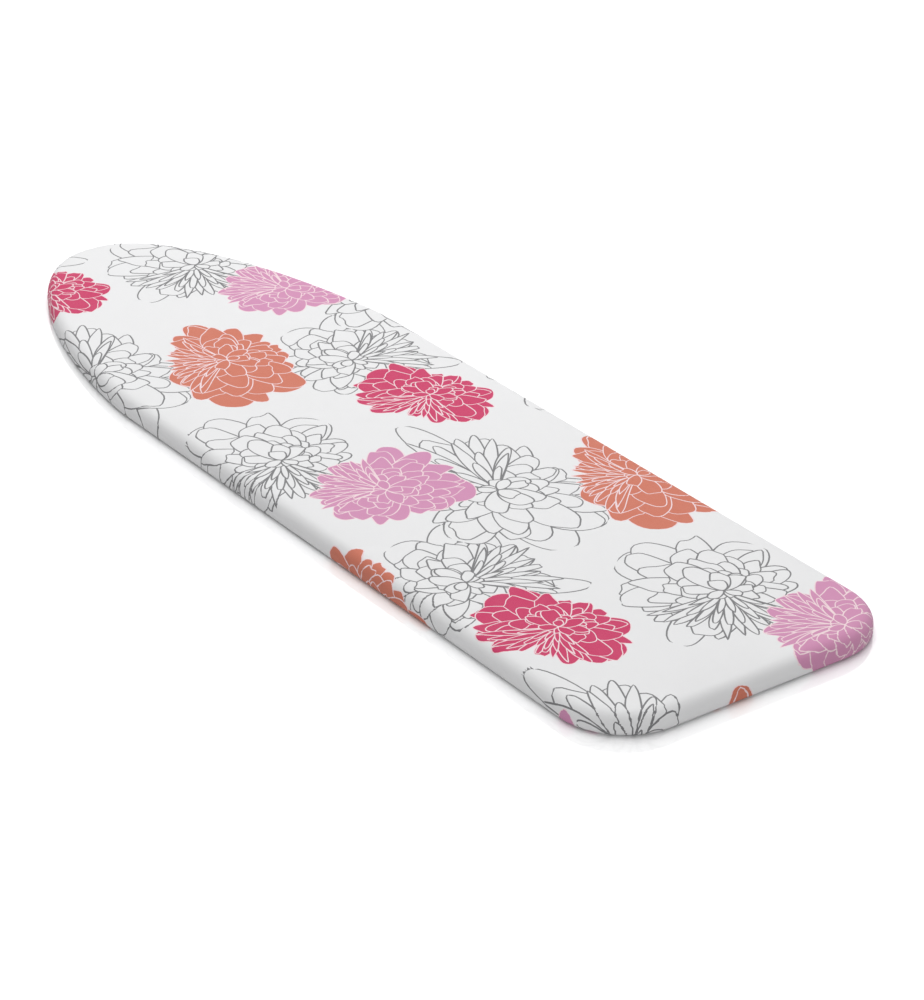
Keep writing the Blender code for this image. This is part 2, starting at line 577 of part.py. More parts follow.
# ---------------------------------------------------------------- height lock: rod, comb, tongue and grip
rod_mid, rod_half = (at(ROD_S0) + at(ROD_S1)) / 2, (ROD_S1 - ROD_S0) / 2
lock_rod = rod("lock_rod", (rod_mid, ROD_Y, ROD_Z), "X", ROD_R, rod_half, ZINC, 0.0004, 12)
clips = []
for k, s in enumerate(CLIP_STATIONS):
    me = bpy.data.meshes.new("rod_clip_%d" % (k + 1))
    bm = bmesh.new()
    r, top = ROD_R + GAP + 0.0008, UNDER_Z
    prof = [(-0.0095, top), (-r, top), (-r, ROD_Z)]
    prof += [(-r * math.cos(a), ROD_Z - r * math.sin(a)) for a in (math.pi * j / 6 for j in range(1, 6))]
    prof += [(r, ROD_Z), (r, top), (0.0095, top)]
    line = [bm.verts.new((at(s) - 0.004, ROD_Y + y, z)) for y, z in prof]
    edges = [bm.edges.new((a, b)) for a, b in zip(line, line[1:])]
    new = bmesh.ops.extrude_edge_only(bm, edges=edges)["geom"]
    bmesh.ops.translate(bm, vec=(0.008, 0, 0), verts=[g for g in new if isinstance(g, bmesh.types.BMVert)])
    bmesh.ops.recalc_face_normals(bm, faces=bm.faces[:])
    wing = min(bm.faces, key=lambda f: f.calc_center_median().y)
    if wing.normal.z < 0:
        bmesh.ops.reverse_faces(bm, faces=bm.faces[:])
    # the wings' outer side faces up and the loop's outer side faces down, so the strap thickens inward
    bm.to_mesh(me)
    bm.free()
    c = add("rod_clip_%d" % (k + 1), me, ZINC)
    sh = c.modifiers.new("thickness", "SOLIDIFY")
    sh.thickness, sh.offset, sh.use_even_offset = 0.0008, -1, True
    clips.append(c)

spine0, spine1 = ROD_R + 0.0002, ROD_R + 0.0014
tip = ROD_Y - RAIL_Y - TRACK_W / 2 - 0.0018
comb_loop = [(at(FIRST_TOOTH_S - 0.0100), ROD_Y - spine0), (at(FIRST_TOOTH_S - 0.0100), ROD_Y - spine1)]
for k in range(TOOTH_COUNT):
    s = FIRST_TOOTH_S + k * TOOTH_PITCH
    comb_loop += [(at(s - 0.0015), ROD_Y - spine1), (at(s - 0.0012), ROD_Y - tip), (at(s + 0.0012), ROD_Y - tip), (at(s + 0.0015), ROD_Y - spine1)]
last = FIRST_TOOTH_S + (TOOTH_COUNT - 1) * TOOTH_PITCH
comb_loop += [(at(last + 0.0060), ROD_Y - spine1), (at(last + 0.0060), ROD_Y - spine0)]
comb = plate("lock_comb", [comb_loop], ROD_Z - COMB_T / 2, ROD_Z + COMB_T / 2, ZINC)
tongue_s = ROD_S0 + 0.022
tongue = block("lock_tongue", (at(tongue_s), (ROD_Y - spine0 + 0.0060) / 2, ROD_Z), (0.018, ROD_Y - spine0 - 0.0060, 0.0016), ZINC, 0)
grip = block("lock_grip", (at(tongue_s), (0.0060 - GAP - 0.0340) / 2, ROD_Z - 0.0010), (0.044, 0.0060 - GAP + 0.0340, 0.0064), GRIP, 0.0022, 3)

# ---------------------------------------------------------------- joints
j_foot = joint("joint_rear_legs", FOOT)
j_centre = joint("joint_front_legs", (at(CENTRE_S), 0, LEG_Z), j_foot)
j_hinge = joint("joint_board", (at(HINGE_S), 0, LEG_Z), j_centre)
j_lock = joint("joint_height_lock", (at(ROD_S0), ROD_Y, ROD_Z), j_hinge)
carry(j_foot, rear_foot, *bushes, *rear_legs, brace, bar, slider_bush)
carry(j_centre, *front_legs, front_foot, *front_caps, bolt, nut, *spacers)
carry(j_hinge, cover, elastic, pad, deck, *rim_parts, *brackets, *pins, rail_plate, *tracks, *ends, *rests, *cradles, *clips)
carry(j_lock, lock_rod, comb, tongue, grip)
for ob in bpy.data.objects:
    if ob.type == "MESH" and not ob.data.polygons:
        continue
    if ob.type == "MESH":
        ob.data.shade_smooth()
        ob.data.set_sharp_from_angle(angle=math.radians(40))
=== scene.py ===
"""Finishes, printed cover and fittings of a folding ironing board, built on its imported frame.

Each sub-assembly is a class that holds its sizes in metres, builds its meshes in the frame's own
place and gives them their finishes. Repeated small things, such as the deck's strands, the
stitches and the rivets, are Geometry Nodes trees made here and then turned into plain meshes.
"""

from __future__ import annotations

import json
import logging
import math
import random
from dataclasses import dataclass, field
from enum import Enum
from typing import Iterable, Sequence

import bmesh
import bpy
import numpy as np
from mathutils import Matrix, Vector, geometry
from mathutils.bvhtree import BVHTree


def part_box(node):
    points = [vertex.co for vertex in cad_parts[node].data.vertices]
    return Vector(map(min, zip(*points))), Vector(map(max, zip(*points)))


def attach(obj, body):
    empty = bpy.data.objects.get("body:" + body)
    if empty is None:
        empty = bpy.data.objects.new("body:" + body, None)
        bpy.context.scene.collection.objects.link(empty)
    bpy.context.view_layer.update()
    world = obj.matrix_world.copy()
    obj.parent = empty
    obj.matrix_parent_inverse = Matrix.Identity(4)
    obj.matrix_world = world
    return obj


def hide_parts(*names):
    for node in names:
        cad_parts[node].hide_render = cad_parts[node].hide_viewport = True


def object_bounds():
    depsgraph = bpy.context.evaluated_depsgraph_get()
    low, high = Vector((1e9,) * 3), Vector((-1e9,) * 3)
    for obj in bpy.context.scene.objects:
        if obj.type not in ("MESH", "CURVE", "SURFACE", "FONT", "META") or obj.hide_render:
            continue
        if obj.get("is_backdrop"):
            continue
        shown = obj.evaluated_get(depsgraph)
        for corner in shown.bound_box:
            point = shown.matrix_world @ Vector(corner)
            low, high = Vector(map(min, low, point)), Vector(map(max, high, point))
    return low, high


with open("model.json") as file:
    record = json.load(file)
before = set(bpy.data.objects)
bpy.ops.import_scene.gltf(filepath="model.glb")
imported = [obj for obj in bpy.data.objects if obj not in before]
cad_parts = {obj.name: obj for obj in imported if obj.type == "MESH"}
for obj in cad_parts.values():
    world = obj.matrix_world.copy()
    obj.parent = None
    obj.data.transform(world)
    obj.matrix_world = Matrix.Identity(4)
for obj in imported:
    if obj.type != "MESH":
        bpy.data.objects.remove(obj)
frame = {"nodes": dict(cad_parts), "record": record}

LOG = logging.getLogger("ironing_board")
Point = tuple[float, float]
Colour = tuple[float, float, float]


# ------------------------------------------------------------------ node trees
class Graph:
    """A node tree under construction, for a material, a shader group or Geometry Nodes."""

    def __init__(self, tree: bpy.types.NodeTree) -> None:
        """Starts on an empty copy of the tree.

        Args:
            tree: The tree that the nodes go into. Its old nodes are removed.
        """
        self.tree = tree
        tree.nodes.clear()

    def node(
        self, kind: str, sockets: dict[str | int, object] | None = None, **settings: object
    ) -> bpy.types.Node:
        """Adds one node.

        Args:
            kind: The node's type name.
            sockets: Value or output socket for each input, by name or by index.
            settings: The node's own properties.

        Returns:
            The new node.
        """
        made = self.tree.nodes.new(kind)
        made.location = (220 * (len(self.tree.nodes) % 8), -180 * (len(self.tree.nodes) // 8))
        for key, value in settings.items():
            setattr(made, key, value)
        for key, value in (sockets or {}).items():
            if isinstance(value, bpy.types.NodeSocket):
                self.tree.links.new(value, made.inputs[key])
            else:
                made.inputs[key].default_value = value
        return made

    def math(self, operation: str, a: object, b: object = 0.0, c: object = 0.0) -> bpy.types.NodeSocket:
        """Adds a Math node on up to three values or sockets and returns its output."""
        kind = "ShaderNodeMath"
        return self.node(kind, {0: a, 1: b, 2: c}, operation=operation).outputs[0]

    def vector(self, operation: str, a: object, b: object = (0.0, 0.0, 0.0)) -> bpy.types.NodeSocket:
        """Adds a Vector Math node and returns its vector output."""
        return self.node("ShaderNodeVectorMath", {0: a, 1: b}, operation=operation).outputs[0]

    def spread(
        self, value: object, low: float, high: float, to_low: float = 0.0, to_high: float = 1.0
    ) -> bpy.types.NodeSocket:
        """Maps a value from one range to another, held at the ends, and returns the result."""
        sockets = {"Value": value, "From Min": low, "From Max": high, "To Min": to_low, "To Max": to_high}
        return self.node("ShaderNodeMapRange", sockets).outputs[0]


class Effect(Enum):
    """Surface effects that several finishes share, each one shader node group."""

    WEAVE = "cloth_weave"
    GRAIN = "fine_grain"
    WEAR = "handling_wear"
    DUST = "settled_dust"
    BRUSH = "rolled_lines"


class Effects:
    """Builds each shared shader group once and hands it to the finishes."""

    def __init__(self) -> None:
        """Makes every group."""
        makers = {
            Effect.WEAVE: self._weave,
            Effect.GRAIN: self._grain,
            Effect.WEAR: self._wear,
            Effect.DUST: self._dust,
            Effect.BRUSH: self._brush,
        }
        self.groups = {effect: maker(effect.value) for effect, maker in makers.items()}

    @staticmethod
    def _group(
        name: str, inputs: dict[str, tuple[str, object]], outputs: dict[str, str]
    ) -> tuple[Graph, bpy.types.Node, bpy.types.Node]:
        """Starts a shader group with named sockets.

        Args:
            name: The group's name.
            inputs: Socket type and default value for each input name.
            outputs: Socket type for each output name.

        Returns:
            The graph, its input node and its output node.
        """
        tree = bpy.data.node_groups.new(name, "ShaderNodeTree")
        for label, (kind, value) in inputs.items():
            socket = tree.interface.new_socket(label, in_out="INPUT", socket_type=kind)
            if value is not None:
                socket.default_value = value
        for label, kind in outputs.items():
            tree.interface.new_socket(label, in_out="OUTPUT", socket_type=kind)
        graph = Graph(tree)
        return graph, graph.node("NodeGroupInput"), graph.node("NodeGroupOutput")

    def _finish(self, graph: Graph, end: bpy.types.Node, **values: bpy.types.NodeSocket) -> bpy.types.NodeTree:
        """Links the group's outputs, whose names have spaces for underscores, and returns the group."""
        for label, value in values.items():
            graph.tree.links.new(value, end.inputs[label.replace("_", " ")])
        return graph.tree

    def _weave(self, name: str) -> bpy.types.NodeTree:
        """Plain weave of warp and weft threads, from coordinates in metres."""
        inputs = {
            "Place": ("NodeSocketVector", None), "Thread": ("NodeSocketFloat", 0.0006),
            "Slub": ("NodeSocketFloat", 0.3)
        }
        graph, start, end = self._group(name, inputs, {"Height": "NodeSocketFloat", "Shade": "NodeSocketFloat"})
        rough = graph.node(
            "ShaderNodeTexNoise", {"Vector": start.outputs["Place"], "Scale": 260.0, "Detail": 3.0}
        )
        shift = graph.math("MULTIPLY", graph.math("SUBTRACT", rough.outputs["Fac"], 0.5), start.outputs["Slub"])
        parts = graph.node("ShaderNodeSeparateXYZ", {0: start.outputs["Place"]})
        turns = [
            graph.math("ADD", graph.math("DIVIDE", parts.outputs[axis], start.outputs["Thread"]), shift)
            for axis in (0, 1)
        ]
        waves = [graph.math("SINE", graph.math("MULTIPLY", turn, math.pi)) for turn in turns]
        over = graph.math("MULTIPLY", waves[0], waves[1])
        crowns = [graph.math("ABSOLUTE", wave) for wave in waves]
        height = graph.math(
            "ADD", graph.math("MULTIPLY", graph.math("MAXIMUM", crowns[0], crowns[1]), 0.7),
            graph.math("MULTIPLY", over, 0.3)
        )
        cloud = graph.node(
            "ShaderNodeTexNoise", {"Vector": start.outputs["Place"], "Scale": 34.0, "Detail": 4.0}
        )
        return self._finish(graph, end, Height=height, Shade=graph.spread(cloud.outputs["Fac"], 0.3, 0.7))

    def _grain(self, name: str) -> bpy.types.NodeTree:
        """Fine lumps of a coat or a moulding, with larger soft unevenness."""
        inputs = {
            "Place": ("NodeSocketVector", None), "Scale": ("NodeSocketFloat", 900.0),
            "Detail": ("NodeSocketFloat", 3.0)
        }
        graph, start, end = self._group(name, inputs, {"Height": "NodeSocketFloat", "Cloud": "NodeSocketFloat"})
        fine = graph.node(
            "ShaderNodeTexNoise",
            {
                "Vector": start.outputs["Place"], "Scale": start.outputs["Scale"],
                "Detail": start.outputs["Detail"]
            }
        )
        wide = graph.node(
            "ShaderNodeTexNoise", {"Vector": start.outputs["Place"], "Scale": 24.0, "Detail": 2.0}
        )
        return self._finish(
            graph, end, Height=fine.outputs["Fac"], Cloud=graph.spread(wide.outputs["Fac"], 0.35, 0.65)
        )

    def _wear(self, name: str) -> bpy.types.NodeTree:
        """Scuffs and rubbed spots, as a mask from clean to rubbed."""
        inputs = {
            "Place": ("NodeSocketVector", None), "Scale": ("NodeSocketFloat", 60.0),
            "Amount": ("NodeSocketFloat", 0.3)
        }
        graph, start, end = self._group(name, inputs, {"Mask": "NodeSocketFloat"})
        spots = graph.node(
            "ShaderNodeTexNoise",
            {"Vector": start.outputs["Place"], "Scale": start.outputs["Scale"], "Detail": 3.0, "Roughness": 0.6}
        )
        lines = graph.node(
            "ShaderNodeTexNoise",
            {
                "Vector": graph.vector("MULTIPLY", start.outputs["Place"], (1.0, 9.0, 9.0)),
                "Scale": start.outputs["Scale"], "Detail": 2.0
            }
        )
        both = graph.math(
            "MULTIPLY", graph.spread(spots.outputs["Fac"], 0.55, 0.72),
            graph.spread(lines.outputs["Fac"], 0.45, 0.62)
        )
        return self._finish(graph, end, Mask=graph.math("MULTIPLY", both, start.outputs["Amount"]))

    def _dust(self, name: str) -> bpy.types.NodeTree:
        """Dust that has settled on faces that look up, as a mask."""
        inputs = {"Place": ("NodeSocketVector", None), "Amount": ("NodeSocketFloat", 0.2)}
        graph, start, end = self._group(name, inputs, {"Mask": "NodeSocketFloat"})
        facing = graph.node(
            "ShaderNodeSeparateXYZ", {0: graph.node("ShaderNodeNewGeometry").outputs["Normal"]}
        ).outputs[2]
        specks = graph.node(
            "ShaderNodeTexNoise", {"Vector": start.outputs["Place"], "Scale": 420.0, "Detail": 5.0}
        )
        mask = graph.math(
            "MULTIPLY", graph.spread(facing, 0.2, 1.0), graph.spread(specks.outputs["Fac"], 0.42, 0.68)
        )
        return self._finish(graph, end, Mask=graph.math("MULTIPLY", mask, start.outputs["Amount"]))

    def _brush(self, name: str) -> bpy.types.NodeTree:
        """Long fine lines that rolling or drawing leaves in metal, with zinc flowers over them."""
        inputs = {
            "Place": ("NodeSocketVector", None), "Stretch": ("NodeSocketVector", (4.0, 300.0, 300.0)),
            "Spangle": ("NodeSocketFloat", 120.0)
        }
        graph, start, end = self._group(
            name, inputs, {"Height": "NodeSocketFloat", "Flowers": "NodeSocketFloat"}
        )
        drawn = graph.node(
            "ShaderNodeTexNoise",
            {
                "Vector": graph.vector("MULTIPLY", start.outputs["Place"], start.outputs["Stretch"]),
                "Scale": 4.0, "Detail": 3.0
            }
        )
        flowers = graph.node(
            "ShaderNodeTexVoronoi", {"Vector": start.outputs["Place"], "Scale": start.outputs["Spangle"]},
            feature="F1"
        )
        tone = graph.node("ShaderNodeSeparateColor", {0: flowers.outputs["Color"]}).outputs[0]
        return self._finish(graph, end, Height=drawn.outputs["Fac"], Flowers=tone)

    def place(self, graph: Graph, effect: Effect, **values: object) -> bpy.types.Node:
        """Puts one of the groups in a material.

        Args:
            graph: The material's graph.
            effect: Which group.
            values: Values or sockets for the group's inputs.

        Returns:
            The group's node.
        """
        made = graph.node("ShaderNodeGroup", node_tree=self.groups[effect])
        for label, value in values.items():
            if isinstance(value, bpy.types.NodeSocket):
                graph.tree.links.new(value, made.inputs[label])
            else:
                made.inputs[label].default_value = value
        return made


# ------------------------------------------------------------------ finishes
@dataclass(frozen=True)
class Finish:
    """A finish: its plain values sit on the shader, and build() adds what varies over a surface."""

    name: str
    colour: Colour
    roughness: float = 0.5
    metallic: float = 0.0
    specular: float = 0.5
    sheen: float = 0.0
    coat: float = 0.0

    def material(self) -> tuple[bpy.types.Material, Graph, bpy.types.Node]:
        """Makes the material with its plain values set.

        Returns:
            The material, its graph and its main shader.
        """
        made = bpy.data.materials.new(self.name)
        made.use_nodes = True
        made.diffuse_color = (*self.colour, 1.0)
        graph = Graph(made.node_tree)
        shader = graph.node("ShaderNodeBsdfPrincipled", {
            "Base Color": (*self.colour, 1.0), "Roughness": self.roughness, "Metallic": self.metallic,
            "Specular IOR Level": self.specular, "Sheen Weight": self.sheen, "Coat Weight": self.coat,
        })
        if self.sheen:
            shader.inputs["Sheen Roughness"].default_value = 0.6
        if self.coat:
            shader.inputs["Coat Roughness"].default_value = 0.25
        graph.node("ShaderNodeOutputMaterial", {"Surface": shader.outputs[0]})
        return made, graph, shader

    def tint(self, graph: Graph, factor: bpy.types.NodeSocket, other: Colour) -> bpy.types.NodeSocket:
        """Mixes the finish's colour with another by a mask and returns the colour."""
        mix = graph.node(
            "ShaderNodeMix", {0: factor, 6: (*self.colour, 1.0), 7: (*other, 1.0)}, data_type="RGBA"
        )
        return mix.outputs[2]

    def relief(
        self, graph: Graph, shader: bpy.types.Node, height: bpy.types.NodeSocket, distance: float,
        strength: float = 0.5
    ) -> None:
        """Drives the shader's normal from a height of that many metres."""
        bump = graph.node("ShaderNodeBump", {"Height": height, "Distance": distance, "Strength": strength})
        graph.tree.links.new(bump.outputs[0], shader.inputs["Normal"])

    def build(self, effects: Effects) -> bpy.types.Material:
        """Makes the finished material from the plain values alone."""
        return self.material()[0]


@dataclass(frozen=True)
class PrintedCotton(Finish):
    """One ink, or the bare ground, of the printed cover, with the cloth's weave in its relief."""

    thread: float = 0.00055
    weave_depth: float = 0.00022
    roughness: float = 0.82
    sheen: float = 0.12
    specular: float = 0.25

    def build(self, effects: Effects) -> bpy.types.Material:
        """Makes the cloth's material; its colour stays plain, so that the print keeps sharp edges."""
        made, graph, shader = self.material()
        place = graph.vector(
            "MULTIPLY", graph.node("ShaderNodeUVMap", uv_map="OFBake").outputs[0], (1.6, 1.6, 1.6)
        )
        weave = effects.place(graph, Effect.WEAVE, Place=place, Thread=self.thread, Slub=0.5)
        self.relief(graph, shader, weave.outputs["Height"], self.weave_depth, 0.55)
        graph.tree.links.new(
            graph.spread(weave.outputs["Shade"], 0.0, 1.0, self.roughness - 0.07, self.roughness + 0.08),
            shader.inputs["Roughness"]
        )
        return made


@dataclass(frozen=True)
class PlainCotton(Finish):
    """Undyed cloth of the casing and its thread."""

    roughness: float = 0.85
    sheen: float = 0.15
    thread: float = 0.0005

    def build(self, effects: Effects) -> bpy.types.Material:
        """Makes the cloth's material from object coordinates."""
        made, graph, shader = self.material()
        place = graph.node("ShaderNodeTexCoord").outputs["Object"]
        weave = effects.place(graph, Effect.WEAVE, Place=place, Thread=self.thread, Slub=0.3)
        self.relief(graph, shader, weave.outputs["Height"], 0.0002)
        darker = tuple(c * 0.86 for c in self.colour)
        graph.tree.links.new(self.tint(graph, weave.outputs["Shade"], darker), shader.inputs["Base Color"])
        return made


@dataclass(frozen=True)
class Felt(Finish):
    """Needled felt of mixed grey fibres."""

    roughness: float = 0.95
    sheen: float = 0.2
    fleck: Colour = (0.32, 0.33, 0.35)

    def build(self, effects: Effects) -> bpy.types.Material:
        """Makes the felt with matted fibres and darker flecks."""
        made, graph, shader = self.material()
        place = graph.node("ShaderNodeTexCoord").outputs["Object"]
        grain = effects.place(graph, Effect.GRAIN, Place=place, Scale=700.0, Detail=6.0)
        flecks = graph.node("ShaderNodeTexVoronoi", {"Vector": place, "Scale": 380.0}, feature="F1")
        mask = graph.math(
            "MULTIPLY", graph.spread(flecks.outputs["Distance"], 0.12, 0.32, 1.0, 0.0),
            graph.spread(grain.outputs["Height"], 0.4, 0.6)
        )
        graph.tree.links.new(self.tint(graph, mask, self.fleck), shader.inputs["Base Color"])
        self.relief(graph, shader, grain.outputs["Height"], 0.0006, 0.8)
        return made


@dataclass(frozen=True)
class PowderCoat(Finish):
    """Satin powder coat with orange peel and handling scuffs."""

    roughness: float = 0.38
    wear: float = 0.14
    rubbed: Colour = (0.30, 0.31, 0.33)

    def build(self, effects: Effects) -> bpy.types.Material:
        """Makes the coat."""
        made, graph, shader = self.material()
        place = graph.node("ShaderNodeTexCoord").outputs["Object"]
        grain = effects.place(graph, Effect.GRAIN, Place=place, Scale=420.0, Detail=1.0)
        wear = effects.place(graph, Effect.WEAR, Place=place, Scale=45.0, Amount=self.wear)
        graph.tree.links.new(self.tint(graph, wear.outputs["Mask"], self.rubbed), shader.inputs["Base Color"])
        self.relief(graph, shader, grain.outputs["Height"], 0.00003, 0.25)
        rough = graph.math(
            "ADD", graph.spread(grain.outputs["Cloud"], 0.0, 1.0, self.roughness - 0.05, self.roughness + 0.06),
            graph.math("MULTIPLY", wear.outputs["Mask"], 0.3)
        )
        graph.tree.links.new(rough, shader.inputs["Roughness"])
        return made


@dataclass(frozen=True)
class ZincPlate(Finish):
    """Bright zinc on rolled or drawn steel, with lines along one axis."""

    roughness: float = 0.34
    metallic: float = 1.0
    stretch: Colour = (4.0, 300.0, 300.0)
    spangle: float = 0.12

    def build(self, effects: Effects) -> bpy.types.Material:
        """Makes the plating."""
        made, graph, shader = self.material()
        place = graph.node("ShaderNodeTexCoord").outputs["Object"]
        lines = effects.place(graph, Effect.BRUSH, Place=place, Stretch=self.stretch, Spangle=150.0)
        wear = effects.place(graph, Effect.WEAR, Place=place, Scale=70.0, Amount=0.8)
        duller = tuple(c * (1.0 - self.spangle) - 0.02 for c in self.colour)
        both = graph.math("MAXIMUM", lines.outputs["Flowers"], wear.outputs["Mask"])
        graph.tree.links.new(self.tint(graph, both, duller), shader.inputs["Base Color"])
        rough = graph.math(
            "ADD", graph.spread(lines.outputs["Height"], 0.3, 0.7, self.roughness - 0.08, self.roughness + 0.1),
            graph.math("MULTIPLY", wear.outputs["Mask"], 0.2)
        )
        graph.tree.links.new(rough, shader.inputs["Roughness"])
        self.relief(graph, shader, lines.outputs["Height"], 0.00006, 0.35)
        return made


@dataclass(frozen=True)
class Moulded(Finish):
    """Moulded nylon or rubber with a fine spark texture and dust."""

    roughness: float = 0.55
    grain: float = 1400.0
    depth: float = 0.0001
    dust: float = 0.25

    def build(self, effects: Effects) -> bpy.types.Material:
        """Makes the moulding's material."""
        made, graph, shader = self.material()
        place = graph.node("ShaderNodeTexCoord").outputs["Object"]
        grain = effects.place(graph, Effect.GRAIN, Place=place, Scale=self.grain, Detail=2.0)
        dust = effects.place(graph, Effect.DUST, Place=place, Amount=self.dust)
        paler = tuple(min(1.0, c * 1.6 + 0.10) for c in self.colour)
        graph.tree.links.new(self.tint(graph, dust.outputs["Mask"], paler), shader.inputs["Base Color"])
        self.relief(graph, shader, grain.outputs["Height"], self.depth, 0.6)
        graph.tree.links.new(
            graph.spread(grain.outputs["Cloud"], 0.0, 1.0, self.roughness - 0.06, self.roughness + 0.09),
            shader.inputs["Roughness"]
        )
        return made


@dataclass(frozen=True)
class GlossFloor(Finish):
    """Pale sealed studio floor that reflects faintly what stands on it."""

    roughness: float = 0.05
    index: float = 2.1

    def build(self, effects: Effects) -> bpy.types.Material:
        """Makes the floor's material with a barely uneven seal."""
        made, graph, shader = self.material()
        shader.inputs["IOR"].default_value = self.index
        place = graph.node("ShaderNodeTexCoord").outputs["Object"]
        cloud = graph.node("ShaderNodeTexNoise", {"Vector": place, "Scale": 1.5, "Detail": 2.0})
        graph.tree.links.new(
            graph.spread(cloud.outputs["Fac"], 0.3, 0.7, self.roughness - 0.01, self.roughness + 0.01),
            shader.inputs["Roughness"]
        )
        return made


# ------------------------------------------------------------------ makers
def mesh_object(
    name: str, vertices: Sequence, faces: Sequence, materials: Iterable[bpy.types.Material] = (),
    slots: Sequence[int] | None = None, smooth: bool = False
) -> bpy.types.Object:
    """Makes a mesh object at the origin.

    Args:
        name: The object's name.
        vertices: Points in metres.
        faces: Vertex indices of each face.
        materials: Its materials, in slot order.
        slots: Slot of each face.
        smooth: Whether faces are shaded smooth.

    Returns:
        The object, linked to the scene.
    """
    mesh = bpy.data.meshes.new(name)
    mesh.from_pydata([tuple(v) for v in vertices], [], [tuple(f) for f in faces])
    for made in materials:
        mesh.materials.append(made)
    if slots is not None:
        mesh.polygons.foreach_set("material_index", np.asarray(slots, np.int32))
    mesh.polygons.foreach_set("use_smooth", np.full(len(mesh.polygons), smooth))
    mesh.update()
    ob = bpy.data.objects.new(name, mesh)
    bpy.context.scene.collection.objects.link(ob)
    return ob


def winding(points: np.ndarray, ring: np.ndarray) -> np.ndarray:
    """Turns that a closed ring makes round each point.

    Args:
        points: N by 2 points.
        ring: M by 2 corners of the ring.

    Returns:
        N whole numbers, above zero inside a ring that runs anticlockwise.
    """
    ax, ay = ring[:, 0][:, None], ring[:, 1][:, None]
    after = np.roll(ring, -1, 0)
    bx, by = after[:, 0][:, None], after[:, 1][:, None]
    px, py = points[:, 0][None], points[:, 1][None]
    side = (bx - ax) * (py - ay) - (px - ax) * (by - ay)
    up, down = (ay <= py) & (by > py) & (side > 0), (ay > py) & (by <= py) & (side < 0)
    return up.sum(0) - down.sum(0)


def triangulate(points: np.ndarray, edges: np.ndarray) -> tuple[np.ndarray, np.ndarray, np.ndarray]:
    """Constrained Delaunay triangles of points and edges that may cross.

    Args:
        points: N by 2 points.
        edges: M by 2 indices.

    Returns:
        The points, with the crossings added, the triangles, and the middle of each triangle.
    """
    found = geometry.delaunay_2d_cdt([Vector(p) for p in points.tolist()], edges.tolist(), [], 0, 1e-7, False)
    places, triangles = np.array([tuple(v) for v in found[0]]), np.array([tuple(f) for f in found[2]])
    return places, triangles, places[triangles].mean(1)


def ring_edges(first: int, count: int) -> np.ndarray:
    """Edges of a closed ring of that many points, numbered from first."""
    at = np.arange(count)
    return np.stack([at, (at + 1) % count], 1) + first


# ------------------------------------------------------------------ the print
class Ink(Enum):
    """The cover's ground and printing colours, in the order of its material slots."""

    GROUND = 0
    LINE = 1
    CRIMSON = 2
    CORAL = 3
    ORCHID = 4
    PALE = 5


@dataclass(frozen=True)
class Petal:
    """One drawn petal, from its base to a rippled, rounded or pointed tip."""

    base: Point
    aim: float
    reach: float
    half_width: float
    ripple: float = 0.05
    lobes: float = 3.0
    phase: float = 0.0
    bend: float = 0.0
    point: float = 0.0
    veins: int = 0

    def _place(self, along: np.ndarray, across: np.ndarray) -> np.ndarray:
        """Turns points along and across the petal's axis into pattern points."""
        across = across + self.bend * self.reach * (along / self.reach) ** 2
        c, s = math.cos(self.aim), math.sin(self.aim)
        return np.stack([self.base[0] + along * c - across * s, self.base[1] + along * s + across * c], 1)

    def _half(self, share: np.ndarray) -> np.ndarray:
        """Half width at a share of the reach."""
        return self.half_width * 2.0 * np.clip(share, 0, 1) ** 0.62 * np.clip(1 - share, 0, 1) ** 0.42 * 0.93

    def edge(self, steps: int) -> np.ndarray:
        """The petal's edge as an anticlockwise ring of that many points."""
        a = np.arange(steps) / steps * 2 * math.pi
        share = 0.5 - 0.5 * np.cos(a)
        near_tip = share ** 3
        wave = np.cos(self.lobes * (a - math.pi) + self.phase)
        wave += 0.25 * np.cos(2.1 * self.lobes * (a - math.pi) - self.phase)
        tip = np.exp(-(((a - math.pi) / 0.28) ** 2)) * self.point
        along = self.reach * (share + self.ripple * near_tip * wave + 0.16 * tip)
        ruffle = 1 + 1.5 * self.ripple * near_tip * np.sin(1.7 * self.lobes * a + self.phase)
        across = -np.sign(np.sin(a)) * self._half(share) * ruffle
        return self._place(along, across)

    def within(self, ring: np.ndarray, line: float) -> np.ndarray:
        """The edge drawn in by the line's width, which swells and thins as a pen's does."""
        along = np.roll(ring, -1, 0) - np.roll(ring, 1, 0)
        along /= np.maximum(np.linalg.norm(along, axis=1), 1e-9)[:, None]
        inward = np.stack([-along[:, 1], along[:, 0]], 1)
        swell = 1 + 0.16 * np.cos(np.arange(len(ring)) / len(ring) * 4 * math.pi + self.phase)
        return ring + inward * (line * swell)[:, None]

    def strokes(self, line: float) -> list[np.ndarray]:
        """The petal's veins, as thin rings that taper towards the tip."""
        found = []
        for i in range(self.veins):
            side = (i + 1) / (self.veins + 1) * 2 - 1
            share = np.linspace(0.10, 0.62 + 0.12 * math.cos(5 * side + self.phase), 7)
            middle = side * 0.8 * self._half(share)
            thin = line * 0.5 * np.linspace(1.0, 0.25, 7)
            left, right = (self._place(self.reach * share, middle + k * thin) for k in (-1, 1))
            found.append(np.concatenate([left, right[::-1]]))
        return found


